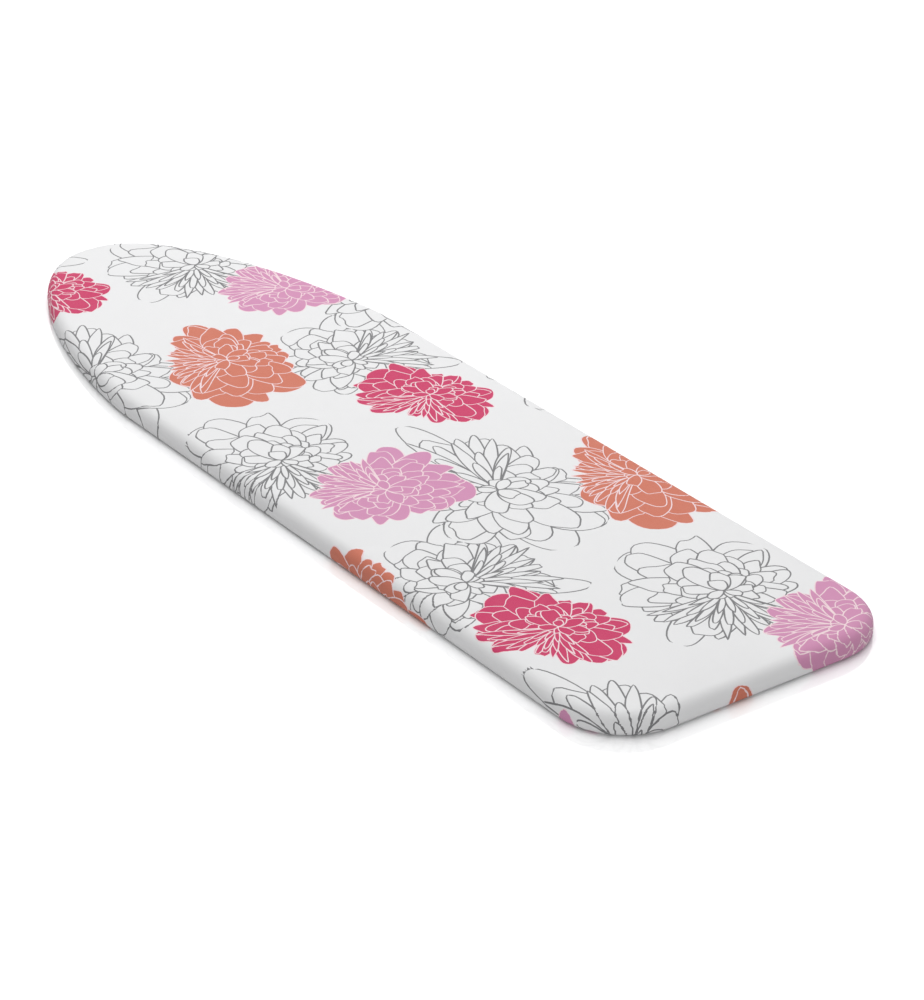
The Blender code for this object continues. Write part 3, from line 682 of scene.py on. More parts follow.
@dataclass(frozen=True)
class Blossom:
    """A generic peony: wide outer petals, rings of rippled ones, and a fan of slender ones on one side."""

    name: str
    ink: Ink
    centre: Point
    reaches: tuple[Point, ...]
    fan: Point
    wide: tuple[tuple[float, float, float], ...]
    seed: int
    line: float = 0.0017
    steps: int = 34

    def reach(self, degrees: float) -> float:
        """Reach of the blossom in a direction, from the listed directions and reaches."""
        turns = sorted(self.reaches)
        turns = [(turns[-1][0] - 360, turns[-1][1]), *turns, (turns[0][0] + 360, turns[0][1])]
        at = (degrees - turns[0][0]) % 360 + turns[0][0]
        for (a, ra), (b, rb) in zip(turns, turns[1:]):
            if a <= at <= b:
                share = (at - a) / max(b - a, 1e-9)
                return ra + (rb - ra) * (0.5 - 0.5 * math.cos(math.pi * share))
        return turns[0][1]

    def _in_fan(self, degrees: float) -> bool:
        """Whether a direction is on the slender side."""
        return (degrees - self.fan[0]) % 360 <= (self.fan[1] - self.fan[0]) % 360

    def _petal(
        self, rng: random.Random, degrees: float, size: float, width: float, root: float, **shape: float
    ) -> Petal:
        """One petal at a share of the blossom's reach, with its chance set by the blossom's seed."""
        r = self.reach(degrees) * size
        return Petal(
            self._root(degrees, root * self.reach(degrees)), math.radians(degrees),
            r - root * self.reach(degrees), width * self.reach(degrees), phase=rng.uniform(0, 6), **shape
        )

    def petals(self) -> list[Petal]:
        """The petals from the back to the front."""
        rng, found = random.Random(self.seed), []
        for degrees, share, width in self.wide:
            found.append(
                self._petal(
                    rng, degrees, share, width, 0.10, ripple=0.03, lobes=1.7, bend=rng.uniform(-0.14, 0.14),
                    veins=1
                )
            )
        for ring, (size, width, pitch) in enumerate(
            ((0.97, 0.20, 21.0), (0.80, 0.17, 22.0), (0.60, 0.15, 26.0), (0.42, 0.13, 33.0))
        ):
            turn = rng.uniform(0, pitch)
            aims = [turn + pitch * k + rng.uniform(-4, 4) for k in range(int(360 / pitch))]
            rng.shuffle(aims)
            for degrees in aims:
                if ring and self._in_fan(degrees):
                    continue
                shape = {
                    "ripple": rng.uniform(0.03, 0.07), "lobes": rng.uniform(2.0, 4.2),
                    "bend": rng.uniform(-0.2, 0.2), "point": rng.choice((0.0, 0.0, 0.35))
                }
                found.append(
                    self._petal(
                        rng, degrees, size * rng.uniform(0.90, 1.05), width * rng.uniform(0.85, 1.2), 0.05,
                        veins=rng.choice((0, 1)) if ring == 0 else 0, **shape
                    )
                )
        span = (self.fan[1] - self.fan[0]) % 360
        for size, width, count in (
            (0.95, 0.075, int(span / 8)), (0.74, 0.060, int(span / 11)), (0.50, 0.050, int(span / 16))
        ):
            order = list(range(count))
            rng.shuffle(order)
            for k in order:
                off = span * (k + 0.5) / count
                bend = 0.3 * math.sin(math.radians(off - span / 2)) + rng.uniform(-0.05, 0.05)
                shape = {
                    "ripple": rng.uniform(0.02, 0.05), "lobes": rng.uniform(1.8, 3.4), "bend": bend,
                    "point": rng.choice((0.0, 0.3, 0.6))
                }
                found.append(
                    self._petal(
                        rng, self.fan[0] + off + rng.uniform(-2, 2), size * rng.uniform(0.88, 1.04), width,
                        0.07, **shape
                    )
                )
        back = (self.fan[0] + span / 2 + 180) % 360
        for offset, size, width in (
            (80, 0.40, 0.10), (-76, 0.42, 0.11), (38, 0.46, 0.13), (-32, 0.44, 0.13), (5, 0.34, 0.11),
            (165, 0.20, 0.07), (205, 0.19, 0.07), (125, 0.24, 0.08), (-120, 0.24, 0.08), (20, 0.20, 0.09)
        ):
            found.append(
                self._petal(
                    rng, back + offset + rng.uniform(-8, 8), size, width, 0.0, ripple=0.07,
                    lobes=rng.uniform(2, 3.4), bend=rng.uniform(-0.1, 0.1)
                )
            )
        return found

    def _root(self, degrees: float, out: float) -> Point:
        """A point that far from the core in a direction; the core is the pattern's origin."""
        a = math.radians(degrees)
        return out * math.cos(a), out * math.sin(a)

    def areas(self) -> list[tuple[Ink, np.ndarray]]:
        """Every printed area from the back to the front, about the core."""
        plain = self.ink is Ink.GROUND
        pen, fill = (Ink.LINE, Ink.GROUND) if plain else (Ink.PALE, self.ink)
        line = self.line if plain else 0.72 * self.line
        found: list[tuple[Ink, np.ndarray]] = []
        for petal in self.petals():
            ring = petal.edge(self.steps)
            found += [(pen, ring), (fill, petal.within(ring, line))]
            found += [(pen, stroke) for stroke in petal.strokes(line)]
        return found


class Stamp:
    """A blossom's print worked out once: its flat triangles, the ink of each, and the edges between inks."""

    def __init__(self, blossom: Blossom) -> None:
        """Composites the blossom's areas, each over the ones before it.

        Args:
            blossom: What to draw.
        """
        self.blossom = blossom
        areas = blossom.areas()
        starts = np.cumsum([0] + [len(ring) for _, ring in areas[:-1]])
        points = np.concatenate([ring for _, ring in areas])
        edges = np.concatenate([ring_edges(int(first), len(ring)) for first, (_, ring) in zip(starts, areas)])
        self.points, self.triangles, middles = triangulate(points, edges)
        inks = np.full(len(middles), -1)
        for ink, ring in areas:
            low, high = ring.min(0), ring.max(0)
            near = np.nonzero(((middles >= low) & (middles <= high)).all(1))[0]
            inside = near[winding(middles[near], ring) > 0]
            inks[inside] = ink.value
        self.inks = inks
        self.edges = self._between()
        self.tree = BVHTree.FromPolygons([(x, y, 0.0) for x, y in self.points], self.triangles.tolist())

    def _between(self) -> np.ndarray:
        """Edges with a different ink on each side, as pairs of points."""
        sides = np.sort(
            np.concatenate([self.triangles[:, [0, 1]], self.triangles[:, [1, 2]], self.triangles[:, [2, 0]]]), 1
        )
        inks = np.tile(self.inks, 3)
        order = np.lexsort((sides[:, 1], sides[:, 0]))
        sides, inks = sides[order], inks[order]
        twin = (sides[1:] == sides[:-1]).all(1)
        return self.points[sides[:-1][twin & (inks[1:] != inks[:-1])]]

    def ink_at(self, x: float, y: float) -> int:
        """Ink at a point about the core, or -1 where nothing is printed."""
        hit = self.tree.ray_cast((x, y, 1.0), (0.0, 0.0, -1.0))
        return -1 if hit[2] is None else int(self.inks[hit[2]])


@dataclass(frozen=True)
class Repeat:
    """The half-drop repeat of the print: six blossoms, carried along two steps."""

    step_up: Point = (0.510, 0.205)
    step_down: Point = (0.510, -0.205)
    blossoms: tuple[Blossom, ...] = (
        Blossom(
            "fan_down", Ink.GROUND, (-0.009, -0.129),
            ((0, 0.092), (60, 0.080), (110, 0.088), (180, 0.128), (230, 0.112), (285, 0.096), (330, 0.098)),
            (275, 375), ((128, 1.18, 0.36), (292, 1.32, 0.24), (8, 1.42, 0.15), (205, 1.08, 0.30)), 11
        ),
        Blossom(
            "fan_up", Ink.GROUND, (-0.177, 0.078),
            ((0, 0.070), (50, 0.098), (100, 0.092), (150, 0.104), (190, 0.098), (250, 0.086), (300, 0.092)),
            (45, 125), ((142, 1.22, 0.42), (46, 1.28, 0.20), (186, 1.16, 0.34), (320, 1.05, 0.22)), 23
        ),
        Blossom(
            "fan_left", Ink.GROUND, (0.187, 0.021),
            (
                (0, 0.140), (45, 0.112), (90, 0.096), (135, 0.112), (172, 0.150), (215, 0.100), (270, 0.092),
                (320, 0.120)
            ),
            (140, 215), ((177, 1.24, 0.16), (350, 1.10, 0.26), (302, 1.16, 0.30), (18, 1.08, 0.22)), 37
        ),
        Blossom(
            "crimson", Ink.CRIMSON, (-0.049, 0.099),
            ((0, 0.088), (60, 0.068), (120, 0.058), (185, 0.093), (215, 0.088), (258, 0.082), (300, 0.062)),
            (250, 345), ((196, 1.0, 0.30), (252, 1.02, 0.22), (52, 1.08, 0.34), (8, 1.0, 0.30)), 41
        ),
        Blossom(
            "coral", Ink.CORAL, (-0.263, -0.040),
            ((0, 0.121), (60, 0.082), (110, 0.074), (170, 0.106), (220, 0.074), (270, 0.074), (320, 0.118)),
            (195, 300), ((330, 1.06, 0.30), (285, 1.04, 0.36), (4, 1.0, 0.22), (168, 1.04, 0.20)), 53
        ),
        Blossom(
            "orchid", Ink.ORCHID, (0.116, -0.076),
            ((0, 0.076), (50, 0.092), (90, 0.090), (135, 0.098), (185, 0.086), (235, 0.080), (280, 0.082)),
            (170, 262), ((58, 1.06, 0.36), (138, 1.08, 0.20), (20, 1.0, 0.30), (285, 1.0, 0.26)), 67
        ),
    )


# ------------------------------------------------------------------ the cover
@dataclass
class BoardPlan:
    """The board's outline, which the cover, the pad and the deck all follow."""

    length: float
    width: float
    corner: float = 0.078
    nose: float = 0.402
    long_power: float = 1.42
    wide_power: float = 2.23
    samples: int = 1400

    def ring(self, inset: float, count: int) -> tuple[np.ndarray, np.ndarray]:
        """The outline drawn in by a distance.

        Args:
            inset: How far in, in metres.
            count: Number of points, evenly spaced.

        Returns:
            The points, anticlockwise from the middle of the tail, and their outward normals.
        """
        half, tail = self.width / 2, self.length / 2
        a = np.linspace(0, math.pi / 2, 160)
        corner = np.stack(
            [tail - self.corner * (1 - np.sin(a[::-1])), half - self.corner * (1 - np.cos(a[::-1]))], 1
        )
        station = self.length - self.nose + self.nose * np.sin(a) ** (2 / self.long_power)
        nose = np.stack([tail - station, half * np.clip(np.cos(a), 0, 1) ** (2 / self.wide_power)], 1)
        upper = np.concatenate([[(tail, 0.0)], corner, nose])
        upper[-1] = (-tail, 0.0)
        whole = np.concatenate([upper, upper[-2:0:-1] * (1, -1)])
        even = self._even(whole, self.samples)
        normals = self.normals(even)
        drawn = even - normals * inset
        places = self._even(drawn, count)
        return places, self.normals(places)

    @staticmethod
    def _even(points: np.ndarray, count: int) -> np.ndarray:
        """Evenly spaced points on a closed line."""
        closed = np.concatenate([points, points[:1]])
        runs = np.concatenate([[0], np.cumsum(np.linalg.norm(np.diff(closed, axis=0), axis=1))])
        at = np.arange(count) / count * runs[-1]
        return np.stack([np.interp(at, runs, closed[:, k]) for k in (0, 1)], 1)

    @staticmethod
    def normals(points: np.ndarray) -> np.ndarray:
        """Outward normals of an anticlockwise closed line."""
        along = np.roll(points, -1, 0) - np.roll(points, 1, 0)
        along /= np.linalg.norm(along, axis=1)[:, None]
        return np.stack([along[:, 1], -along[:, 0]], 1)

    def area(self, points: np.ndarray) -> float:
        """Area inside a closed line of points."""
        x, y = points[:, 0], points[:, 1]
        return abs(float((x * np.roll(y, -1) - np.roll(x, -1) * y).sum())) / 2


@dataclass
class PrintedCover:
    """The stretched cotton cover: a flat cut with its print, wrapped over the edge and drawn in below."""

    plan: BoardPlan
    top: float
    low: float
    roll: float = 0.014
    under_roll: float = 0.0035
    hem: float = 0.0195
    thick: float = 0.0006
    gather: float = 0.0007
    ease: float = 0.00022
    edge_points: int = 320
    hem_points: int = 900
    hem_from: int = 10
    bare_rings: tuple[int, ...] = (13, 14)
    pattern: Repeat = field(default_factory=Repeat)
    inks: tuple[Colour, ...] = (
        (0.685, 0.685, 0.69), (0.165, 0.165, 0.17), (0.50, 0.024, 0.105), (0.525, 0.150, 0.092),
        (0.535, 0.228, 0.385), (0.74, 0.585, 0.61)
    )
    cut_size: tuple[float, ...] = field(default=(0.0, 0.0), init=False)
    cut_area: float = field(default=0.0, init=False)

    def profile(self) -> np.ndarray:
        """The cloth's outer line at the edge, as distance out from the flat top's border and height."""
        z, out = self.low, self.roll
        over = [(out * math.sin(a), self.top - out * (1 - math.cos(a))) for a in np.linspace(0, math.pi / 2, 8)]
        r = self.under_roll
        below = [
            (out - r * (1 - math.cos(a)), z + r * (1 - math.sin(a))) for a in np.linspace(0, math.pi / 2, 5)
        ]
        end = out - self.hem
        curl = [
            (out - 0.009, z), (out - 0.0135, z), (end + 0.001, z), (end + 0.0003, z + 0.0003), (end, z + 0.001),
            (end, z + 0.003), (end + 0.001, z + 0.004), (end + 0.0045, z + 0.004)
        ]
        return np.array(over + below + curl)

    def lengths(self, line: np.ndarray) -> np.ndarray:
        """Distance along the profile at each of its points."""
        return np.concatenate([[0], np.cumsum(np.linalg.norm(np.diff(line, axis=0), axis=1))])

    def wrap(self, flat: np.ndarray, inner: float = 0.0) -> tuple[np.ndarray, np.ndarray]:
        """Puts flat points of the cut in their place on the board.

        Args:
            flat: N by 2 points of the cut, where the flat top lies true.
            inner: How far to the inside of the outer face.

        Returns:
            N by 3 points, and the cloth's direction at each.
        """
        line = self.profile()
        runs = self.lengths(line)
        slopes = np.gradient(line, axis=0)
        slopes /= np.linalg.norm(slopes, axis=1)[:, None]
        inward = np.stack([slopes[:, 1], -slopes[:, 0]], 1)
        border, normals = self.plan.ring(self.roll, 2400)
        placed = np.column_stack([flat, np.full(len(flat), self.top - inner)])
        facing = np.tile((0.0, 0.0, 1.0), (len(flat), 1))
        around = float(np.linalg.norm(np.roll(border, -1, 0) - border, axis=1).sum()) / (2 * math.pi)
        outside = np.nonzero(winding(flat, border) == 0)[0]
        for part in np.array_split(outside, max(1, len(outside) // 800)):
            gap = ((flat[part][:, None] - border[None]) ** 2).sum(2)
            near = gap.argmin(1)
            t = np.sqrt(gap[np.arange(len(part)), near])
            nx, nz = (np.interp(t, runs, inward[:, k]) for k in (0, 1))
            out = np.interp(t, runs, line[:, 0]) + inner * nx
            height = np.interp(t, runs, line[:, 1]) + inner * nz
            station = near / len(border) * 2 * math.pi
            tight = np.clip((np.abs(flat[part][:, 0] + 0.02) - 0.34) / 0.2, 0.15, 1)
            wave, slope = self._folds(station)
            under = np.clip((t - runs[9]) / 0.006, 0, 1) * np.clip(
                (runs[-1] - t) / 0.004, 0, 1
            ) * self.gather * tight
            height -= wave * under
            ease, lean = self._eases(station)
            share = np.clip(1 - np.abs(t - runs[6]) / 0.016, 0, 1) * tight * self.ease
            out -= ease * share
            placed[part, :2] = border[near] + normals[near] * out[:, None]
            placed[part, 2] = height
            along = np.stack([-normals[near][:, 1], normals[near][:, 0]], 1)
            tilt = (-slope * under + lean * share) / around
            facing[part, :2] = -normals[near] * nx[:, None] + along * tilt[:, None]
            facing[part, 2] = -nz
        facing /= np.linalg.norm(facing, axis=1)[:, None]
        return placed, facing * (1.0 if inner == 0.0 else -1.0)

    @staticmethod
    def _folds(station: np.ndarray) -> tuple[np.ndarray, np.ndarray]:
        """The gathers below the edge at places round it, and how fast they change."""
        inside = station * 150 + 2.5 * np.sin(station * 17)
        return 0.5 + 0.5 * np.sin(inside), 0.5 * np.cos(inside) * (150 + 42.5 * np.cos(station * 17))

    @staticmethod
    def _eases(station: np.ndarray) -> tuple[np.ndarray, np.ndarray]:
        """The soft pulls in the rolled edge at places round it, and how fast they change."""
        inside = station * 61 + 3 * np.sin(station * 7)
        return 0.5 + 0.5 * np.sin(inside), 0.5 * np.cos(inside) * (61 + 21 * np.cos(station * 7))

    def _flat_rings(self, counts: dict[int, int]) -> list[np.ndarray]:
        """Rings of the cut at the profile's points, with that many points each."""
        runs = self.lengths(self.profile())
        rings = []
        for index, count in counts.items():
            border, normals = self.plan.ring(self.roll, count)
            rings.append(border + normals * runs[index])
        return rings

    def _printed(self, stamps: list[Stamp]) -> tuple[np.ndarray, np.ndarray, np.ndarray, np.ndarray]:
        """Triangulates the printed face of the cut.

        Args:
            stamps: The blossoms' prints.

        Returns:
            Flat points, triangles, the ink of each, and the points of the cut's border in order.
        """
        steps = len(self.profile())
        counts = {
            i: self.hem_points if i >= self.hem_from else self.edge_points
            for i in range(steps) if i not in self.bare_rings
        }
        rings = self._flat_rings(counts)
        points, edges, first = list(rings), [], 0
        for ring in rings:
            edges.append(ring_edges(first, len(ring)))
            first += len(ring)
        limit = self._flat_rings({steps - 3: 700})[0]
        copies = []
        for i in range(-3, 4):
            for j in range(-3, 4):
                for stamp in stamps:
                    x = stamp.blossom.centre[0] + i * self.pattern.step_up[0] + j * self.pattern.step_down[0]
                    y = stamp.blossom.centre[1] + i * self.pattern.step_up[1] + j * self.pattern.step_down[1]
                    if abs(x) > self.plan.length / 2 + 0.26 or abs(y) > self.plan.width / 2 + 0.22:
                        continue
                    moved = stamp.edges + (x, y)
                    keep = (winding(moved.reshape(-1, 2), limit) > 0).reshape(-1, 2).all(1)
                    if keep.any():
                        copies.append((stamp, x, y))
                        moved = moved[keep]
                        unique, back = np.unique(np.round(moved.reshape(-1, 2), 7), axis=0, return_inverse=True)
                        points.append(unique)
                        edges.append(back.reshape(-1, 2) + first)
                        first += len(unique)
        copies.sort(key=lambda copy: stamps.index(copy[0]))
        places, triangles, middles = triangulate(np.concatenate(points), np.concatenate(edges))
        inside = winding(middles, rings[-1]) > 0
        triangles, middles = triangles[inside], middles[inside]
        inks = np.zeros(len(triangles), np.int32)
        for stamp, x, y in copies:
            low, high = stamp.points.min(0) + (x, y), stamp.points.max(0) + (x, y)
            for k in np.nonzero(((middles >= low) & (middles <= high)).all(1))[0]:
                ink = stamp.ink_at(middles[k, 0] - x, middles[k, 1] - y)
                if ink >= 0:
                    inks[k] = ink
        return places, triangles, inks, rings[-1]

    def build(self, finishes: dict[Ink, bpy.types.Material], lining: bpy.types.Material) -> bpy.types.Object:
        """Makes the cover as one thin closed sheet.

        Args:
            finishes: Material of each ink.
            lining: Material of the unprinted inside.

        Returns:
            The cover.
        """
        stamps = [Stamp(blossom) for blossom in self.pattern.blossoms]
        flat, triangles, inks, border = self._printed(stamps)
        used, triangles = np.unique(triangles, return_inverse=True)
        flat, triangles = flat[used], triangles.reshape(-1, 3)
        rims = np.array([int(((flat - p) ** 2).sum(1).argmin()) for p in border])
        inner = self._flat_rings({i: 260 for i in (0, 2, 4, 6, 8, 9, 10, 12, 15, 17)})
        points, edges, first = [border, *inner], [ring_edges(0, len(border))], len(border)
        for ring in inner:
            edges.append(ring_edges(first, len(ring)))
            first += len(ring)
        back, back_triangles, middles = triangulate(np.concatenate(points), np.concatenate(edges))
        back_triangles = back_triangles[winding(middles, border) > 0]
        back_rims = np.array([int(((back - p) ** 2).sum(1).argmin()) for p in border])
        (outer, outer_facing), (inside, inside_facing) = self.wrap(flat), self.wrap(back, self.thick)
        shift = len(outer)
        after = np.roll(np.arange(len(border)), -1)
        band = np.stack([rims[after], rims, back_rims + shift, back_rims[after] + shift], 1)
        faces = [*triangles.tolist(), *(back_triangles[:, ::-1] + shift).tolist(), *band.tolist()]
        slots = np.concatenate([inks, np.full(len(back_triangles) + len(band), len(Ink))])
        cover = mesh_object(
            "printed_cover", np.concatenate([outer, inside]), faces, [*(finishes[ink] for ink in Ink), lining],
            slots, smooth=True
        )
        self._map(cover, np.concatenate([flat, back]), shift)
        cover.data.normals_split_custom_set_from_vertices(
            np.concatenate([outer_facing, inside_facing]).tolist()
        )
        steps = self.lengths(self.profile())[-1]
        cut, _ = self.plan.ring(self.roll, 900)
        cut = cut + self.plan.normals(cut) * steps
        LOG.info("printed cover: %d triangles, cut %.3f by %.3f m", len(faces), *np.ptp(cut, axis=0)[::-1])
        self.cut_size = tuple(float(v) for v in np.ptp(cut, axis=0)[::-1])
        self.cut_area = self.plan.area(cut)
        return cover

    def _map(self, cover: bpy.types.Object, flat: np.ndarray, shift: int) -> None:
        """Gives the cover a map that follows the flat cut, with the inside beside the printed face."""
        low, size = flat.min(0), float(np.ptp(flat, axis=0).max()) * 1.01
        places = (flat - low) / size + 0.002
        places[shift:, 1] += 0.5
        layer = cover.data.uv_layers.new(name="OFBake")
        corners = np.zeros(len(cover.data.loops), np.int32)
        cover.data.loops.foreach_get("vertex_index", corners)
        layer.data.foreach_set("uv", places[corners].astype(np.float32).ravel())


# ------------------------------------------------------------------ repeated pieces
class Recipe:
    """A Geometry Nodes tree with named inputs, run on a carrier and turned into a plain mesh."""

    def __init__(self, name: str, inputs: dict[str, tuple[str, object]]) -> None:
        """Starts the tree with its sockets.

        Args:
            name: The tree's name.
            inputs: Socket type and default value of each input, beside the geometry and the finish.
        """
        tree = bpy.data.node_groups.new(name, "GeometryNodeTree")
        tree.interface.new_socket("Carrier", in_out="INPUT", socket_type="NodeSocketGeometry")
        for label, (kind, value) in {**inputs, "Finish": ("NodeSocketMaterial", None)}.items():
            socket = tree.interface.new_socket(label, in_out="INPUT", socket_type=kind)
            if value is not None:
                socket.default_value = value
        tree.interface.new_socket("Pieces", in_out="OUTPUT", socket_type="NodeSocketGeometry")
        self.graph = Graph(tree)
        self.start = self.graph.node("NodeGroupInput")

    def input(self, label: str) -> bpy.types.NodeSocket:
        """The tree's input of that name."""
        return self.start.outputs[label]

    def close(self, instances: bpy.types.NodeSocket) -> "Recipe":
        """Ends the tree in real geometry with its finish set."""
        real = self.graph.node("GeometryNodeRealizeInstances", {0: instances})
        smooth = self.graph.node("GeometryNodeSetShadeSmooth", {0: real.outputs[0]})
        painted = self.graph.node(
            "GeometryNodeSetMaterial", {0: smooth.outputs[0], "Material": self.input("Finish")}
        )
        self.graph.node("NodeGroupOutput", {0: painted.outputs[0]})
        return self

    def run(
        self, name: str, carrier: bpy.types.Object, finish: bpy.types.Material, **values: object
    ) -> bpy.types.Object:
        """Runs the tree on a carrier.

        Args:
            name: Name of the piece.
            carrier: Mesh whose points or edges the tree follows. It is removed.
            finish: The pieces' material.
            values: Input values, whose names have spaces for underscores.

        Returns:
            The piece, as a plain mesh at the origin.
        """
        modifier = carrier.modifiers.new("recipe", "NODES")
        modifier.node_group = self.graph.tree
        given = {label.replace("_", " "): value for label, value in values.items()} | {"Finish": finish}
        for item in self.graph.tree.interface.items_tree:
            if item.in_out == "INPUT" and item.name in given:
                modifier[item.identifier] = given[item.name]
        bpy.context.view_layer.update()
        mesh = bpy.data.meshes.new_from_object(carrier.evaluated_get(bpy.context.evaluated_depsgraph_get()))
        carrier.modifiers.remove(modifier)
        bpy.data.objects.remove(carrier)
        mesh.name = name
        made = bpy.data.objects.new(name, mesh)
        bpy.context.scene.collection.objects.link(made)
        LOG.info("%s: %d faces", name, len(mesh.polygons))
        return made


class Recipes:
    """The three trees that every repeated piece of the board uses."""

    def __init__(self) -> None:
        """Builds the trees."""
        self.cells = self._cells()
        self.along = self._along()
        self.fasteners = self._fasteners()

    def _cells(self) -> Recipe:
        """Diamond cells of expanded metal, one round each carrier point."""
        floats = {"Cell Length": 0.026, "Cell Width": 0.011, "Strand": 0.0016, "Thickness": 0.0006}
        made = Recipe("expanded_cells", {k: ("NodeSocketFloat", v) for k, v in floats.items()})
        g, half = made.graph, made.graph.math("MULTIPLY", made.input("Strand"), 0.5)
        rise = g.math("SUBTRACT", g.math("MULTIPLY", made.input("Cell Width"), 0.5), half)
        run = g.math("SUBTRACT", made.input("Cell Length"), g.math("MULTIPLY", made.input("Strand"), 2.2))
        kite = g.node("GeometryNodeCurvePrimitiveQuadrilateral", mode="KITE")
        for label, value in (("Width", run), ("Bottom Height", rise), ("Top Height", rise)):
            g.tree.links.new(value, kite.inputs[label])
        bar = g.node(
            "GeometryNodeCurvePrimitiveQuadrilateral", {"Width": half, "Height": made.input("Thickness")},
            mode="RECTANGLE"
        )
        cell = g.node("GeometryNodeCurveToMesh", {"Curve": kite.outputs[0], "Profile Curve": bar.outputs[0]})
        placed = g.node(
            "GeometryNodeInstanceOnPoints", {"Points": made.input("Carrier"), "Instance": cell.outputs[0]}
        )
        return made.close(placed.outputs[0])

    def _along(self) -> Recipe:
        """Small rounded bodies at an even pitch along the carrier's edges, such as stitches and weld ripples."""
        floats = {"Pitch": 0.004, "Length": 0.003, "Width": 0.0006, "Height": 0.0004, "Unevenness": 0.1}
        made = Recipe(
            "along_a_line",
            {k: ("NodeSocketFloat", v) for k, v in floats.items()} | {"Seed": ("NodeSocketInt", 7)}
        )
        g = made.graph
        curve = g.node("GeometryNodeMeshToCurve", {0: made.input("Carrier")})
        even = g.node(
            "GeometryNodeResampleCurve", {"Curve": curve.outputs[0], "Length": made.input("Pitch")},
            mode="LENGTH"
        )
        tangent = g.node("GeometryNodeInputTangent")
        turn = g.node("FunctionNodeAlignRotationToVector", {"Vector": tangent.outputs[0]}, axis="X")
        ball = g.node("GeometryNodeMeshIcoSphere", {"Radius": 0.5, "Subdivisions": 2})
        size = g.node(
            "ShaderNodeCombineXYZ", {0: made.input("Length"), 1: made.input("Width"), 2: made.input("Height")}
        )
        low, high = (g.math(op, 1.0, made.input("Unevenness")) for op in ("SUBTRACT", "ADD"))
        chance = g.node("FunctionNodeRandomValue", data_type="FLOAT")
        for index, value in ((2, low), (3, high)):
            g.tree.links.new(value, chance.inputs[index])
        g.tree.links.new(made.input("Seed"), chance.inputs["Seed"])
        scale = g.node("ShaderNodeVectorMath", {0: size.outputs[0]}, operation="SCALE")
        g.tree.links.new(chance.outputs[1], scale.inputs["Scale"])
        placed = g.node(
            "GeometryNodeInstanceOnPoints",
            {
                "Points": even.outputs[0], "Instance": ball.outputs[0], "Rotation": turn.outputs[0],
                "Scale": scale.outputs[0]
            }
        )
        return made.close(placed.outputs[0])

    def _fasteners(self) -> Recipe:
        """A rivet or screw on each carrier point, looking along the point's aim and turned at random."""
        made = Recipe(
            "fasteners",
            {"Part": ("NodeSocketObject", None), "Size": ("NodeSocketFloat", 1.0), "Seed": ("NodeSocketInt", 3)}
        )
        g = made.graph
        aim = g.node("GeometryNodeInputNamedAttribute", {"Name": "aim"}, data_type="FLOAT_VECTOR")
        facing = g.node("FunctionNodeAlignRotationToVector", {"Vector": aim.outputs[0]}, axis="Z")
        chance = g.node("FunctionNodeRandomValue", {2: 0.0, 3: 2 * math.pi}, data_type="FLOAT")
        g.tree.links.new(made.input("Seed"), chance.inputs["Seed"])
        spin = g.node("ShaderNodeCombineXYZ", {2: chance.outputs[1]})
        turned = g.node(
            "FunctionNodeRotateRotation", {0: facing.outputs[0], 1: spin.outputs[0]}, rotation_space="LOCAL"
        )
        part = g.node("GeometryNodeObjectInfo", {0: made.input("Part")}, transform_space="ORIGINAL")
        placed = g.node(
            "GeometryNodeInstanceOnPoints",
            {
                "Points": made.input("Carrier"), "Instance": part.outputs["Geometry"],
                "Rotation": turned.outputs[0], "Scale": made.input("Size")
            }
        )
        return made.close(placed.outputs[0])


def points_carrier(
    points: Sequence[Sequence[float]], aim: Sequence[float] = (0.0, 0.0, -1.0)
) -> bpy.types.Object:
    """Makes loose points for a recipe, all looking along one aim."""
    ob = mesh_object("carrier", points, [])
    layer = ob.data.attributes.new("aim", "FLOAT_VECTOR", "POINT")
    layer.data.foreach_set("vector", np.tile(np.asarray(aim, np.float32), len(points)))
    return ob


def lines_carrier(lines: Sequence[np.ndarray], closed: bool = True) -> bpy.types.Object:
    """Makes open or closed lines of edges for a recipe."""
    mesh = bpy.data.meshes.new("carrier")
    edges, first = [], 0
    for line in lines:
        ring = ring_edges(first, len(line))
        edges += (ring if closed else ring[:-1]).tolist()
        first += len(line)
    mesh.from_pydata([tuple(p) for p in np.concatenate(lines)], edges, [])
    ob = bpy.data.objects.new("carrier", mesh)
    bpy.context.scene.collection.objects.link(ob)
    return ob


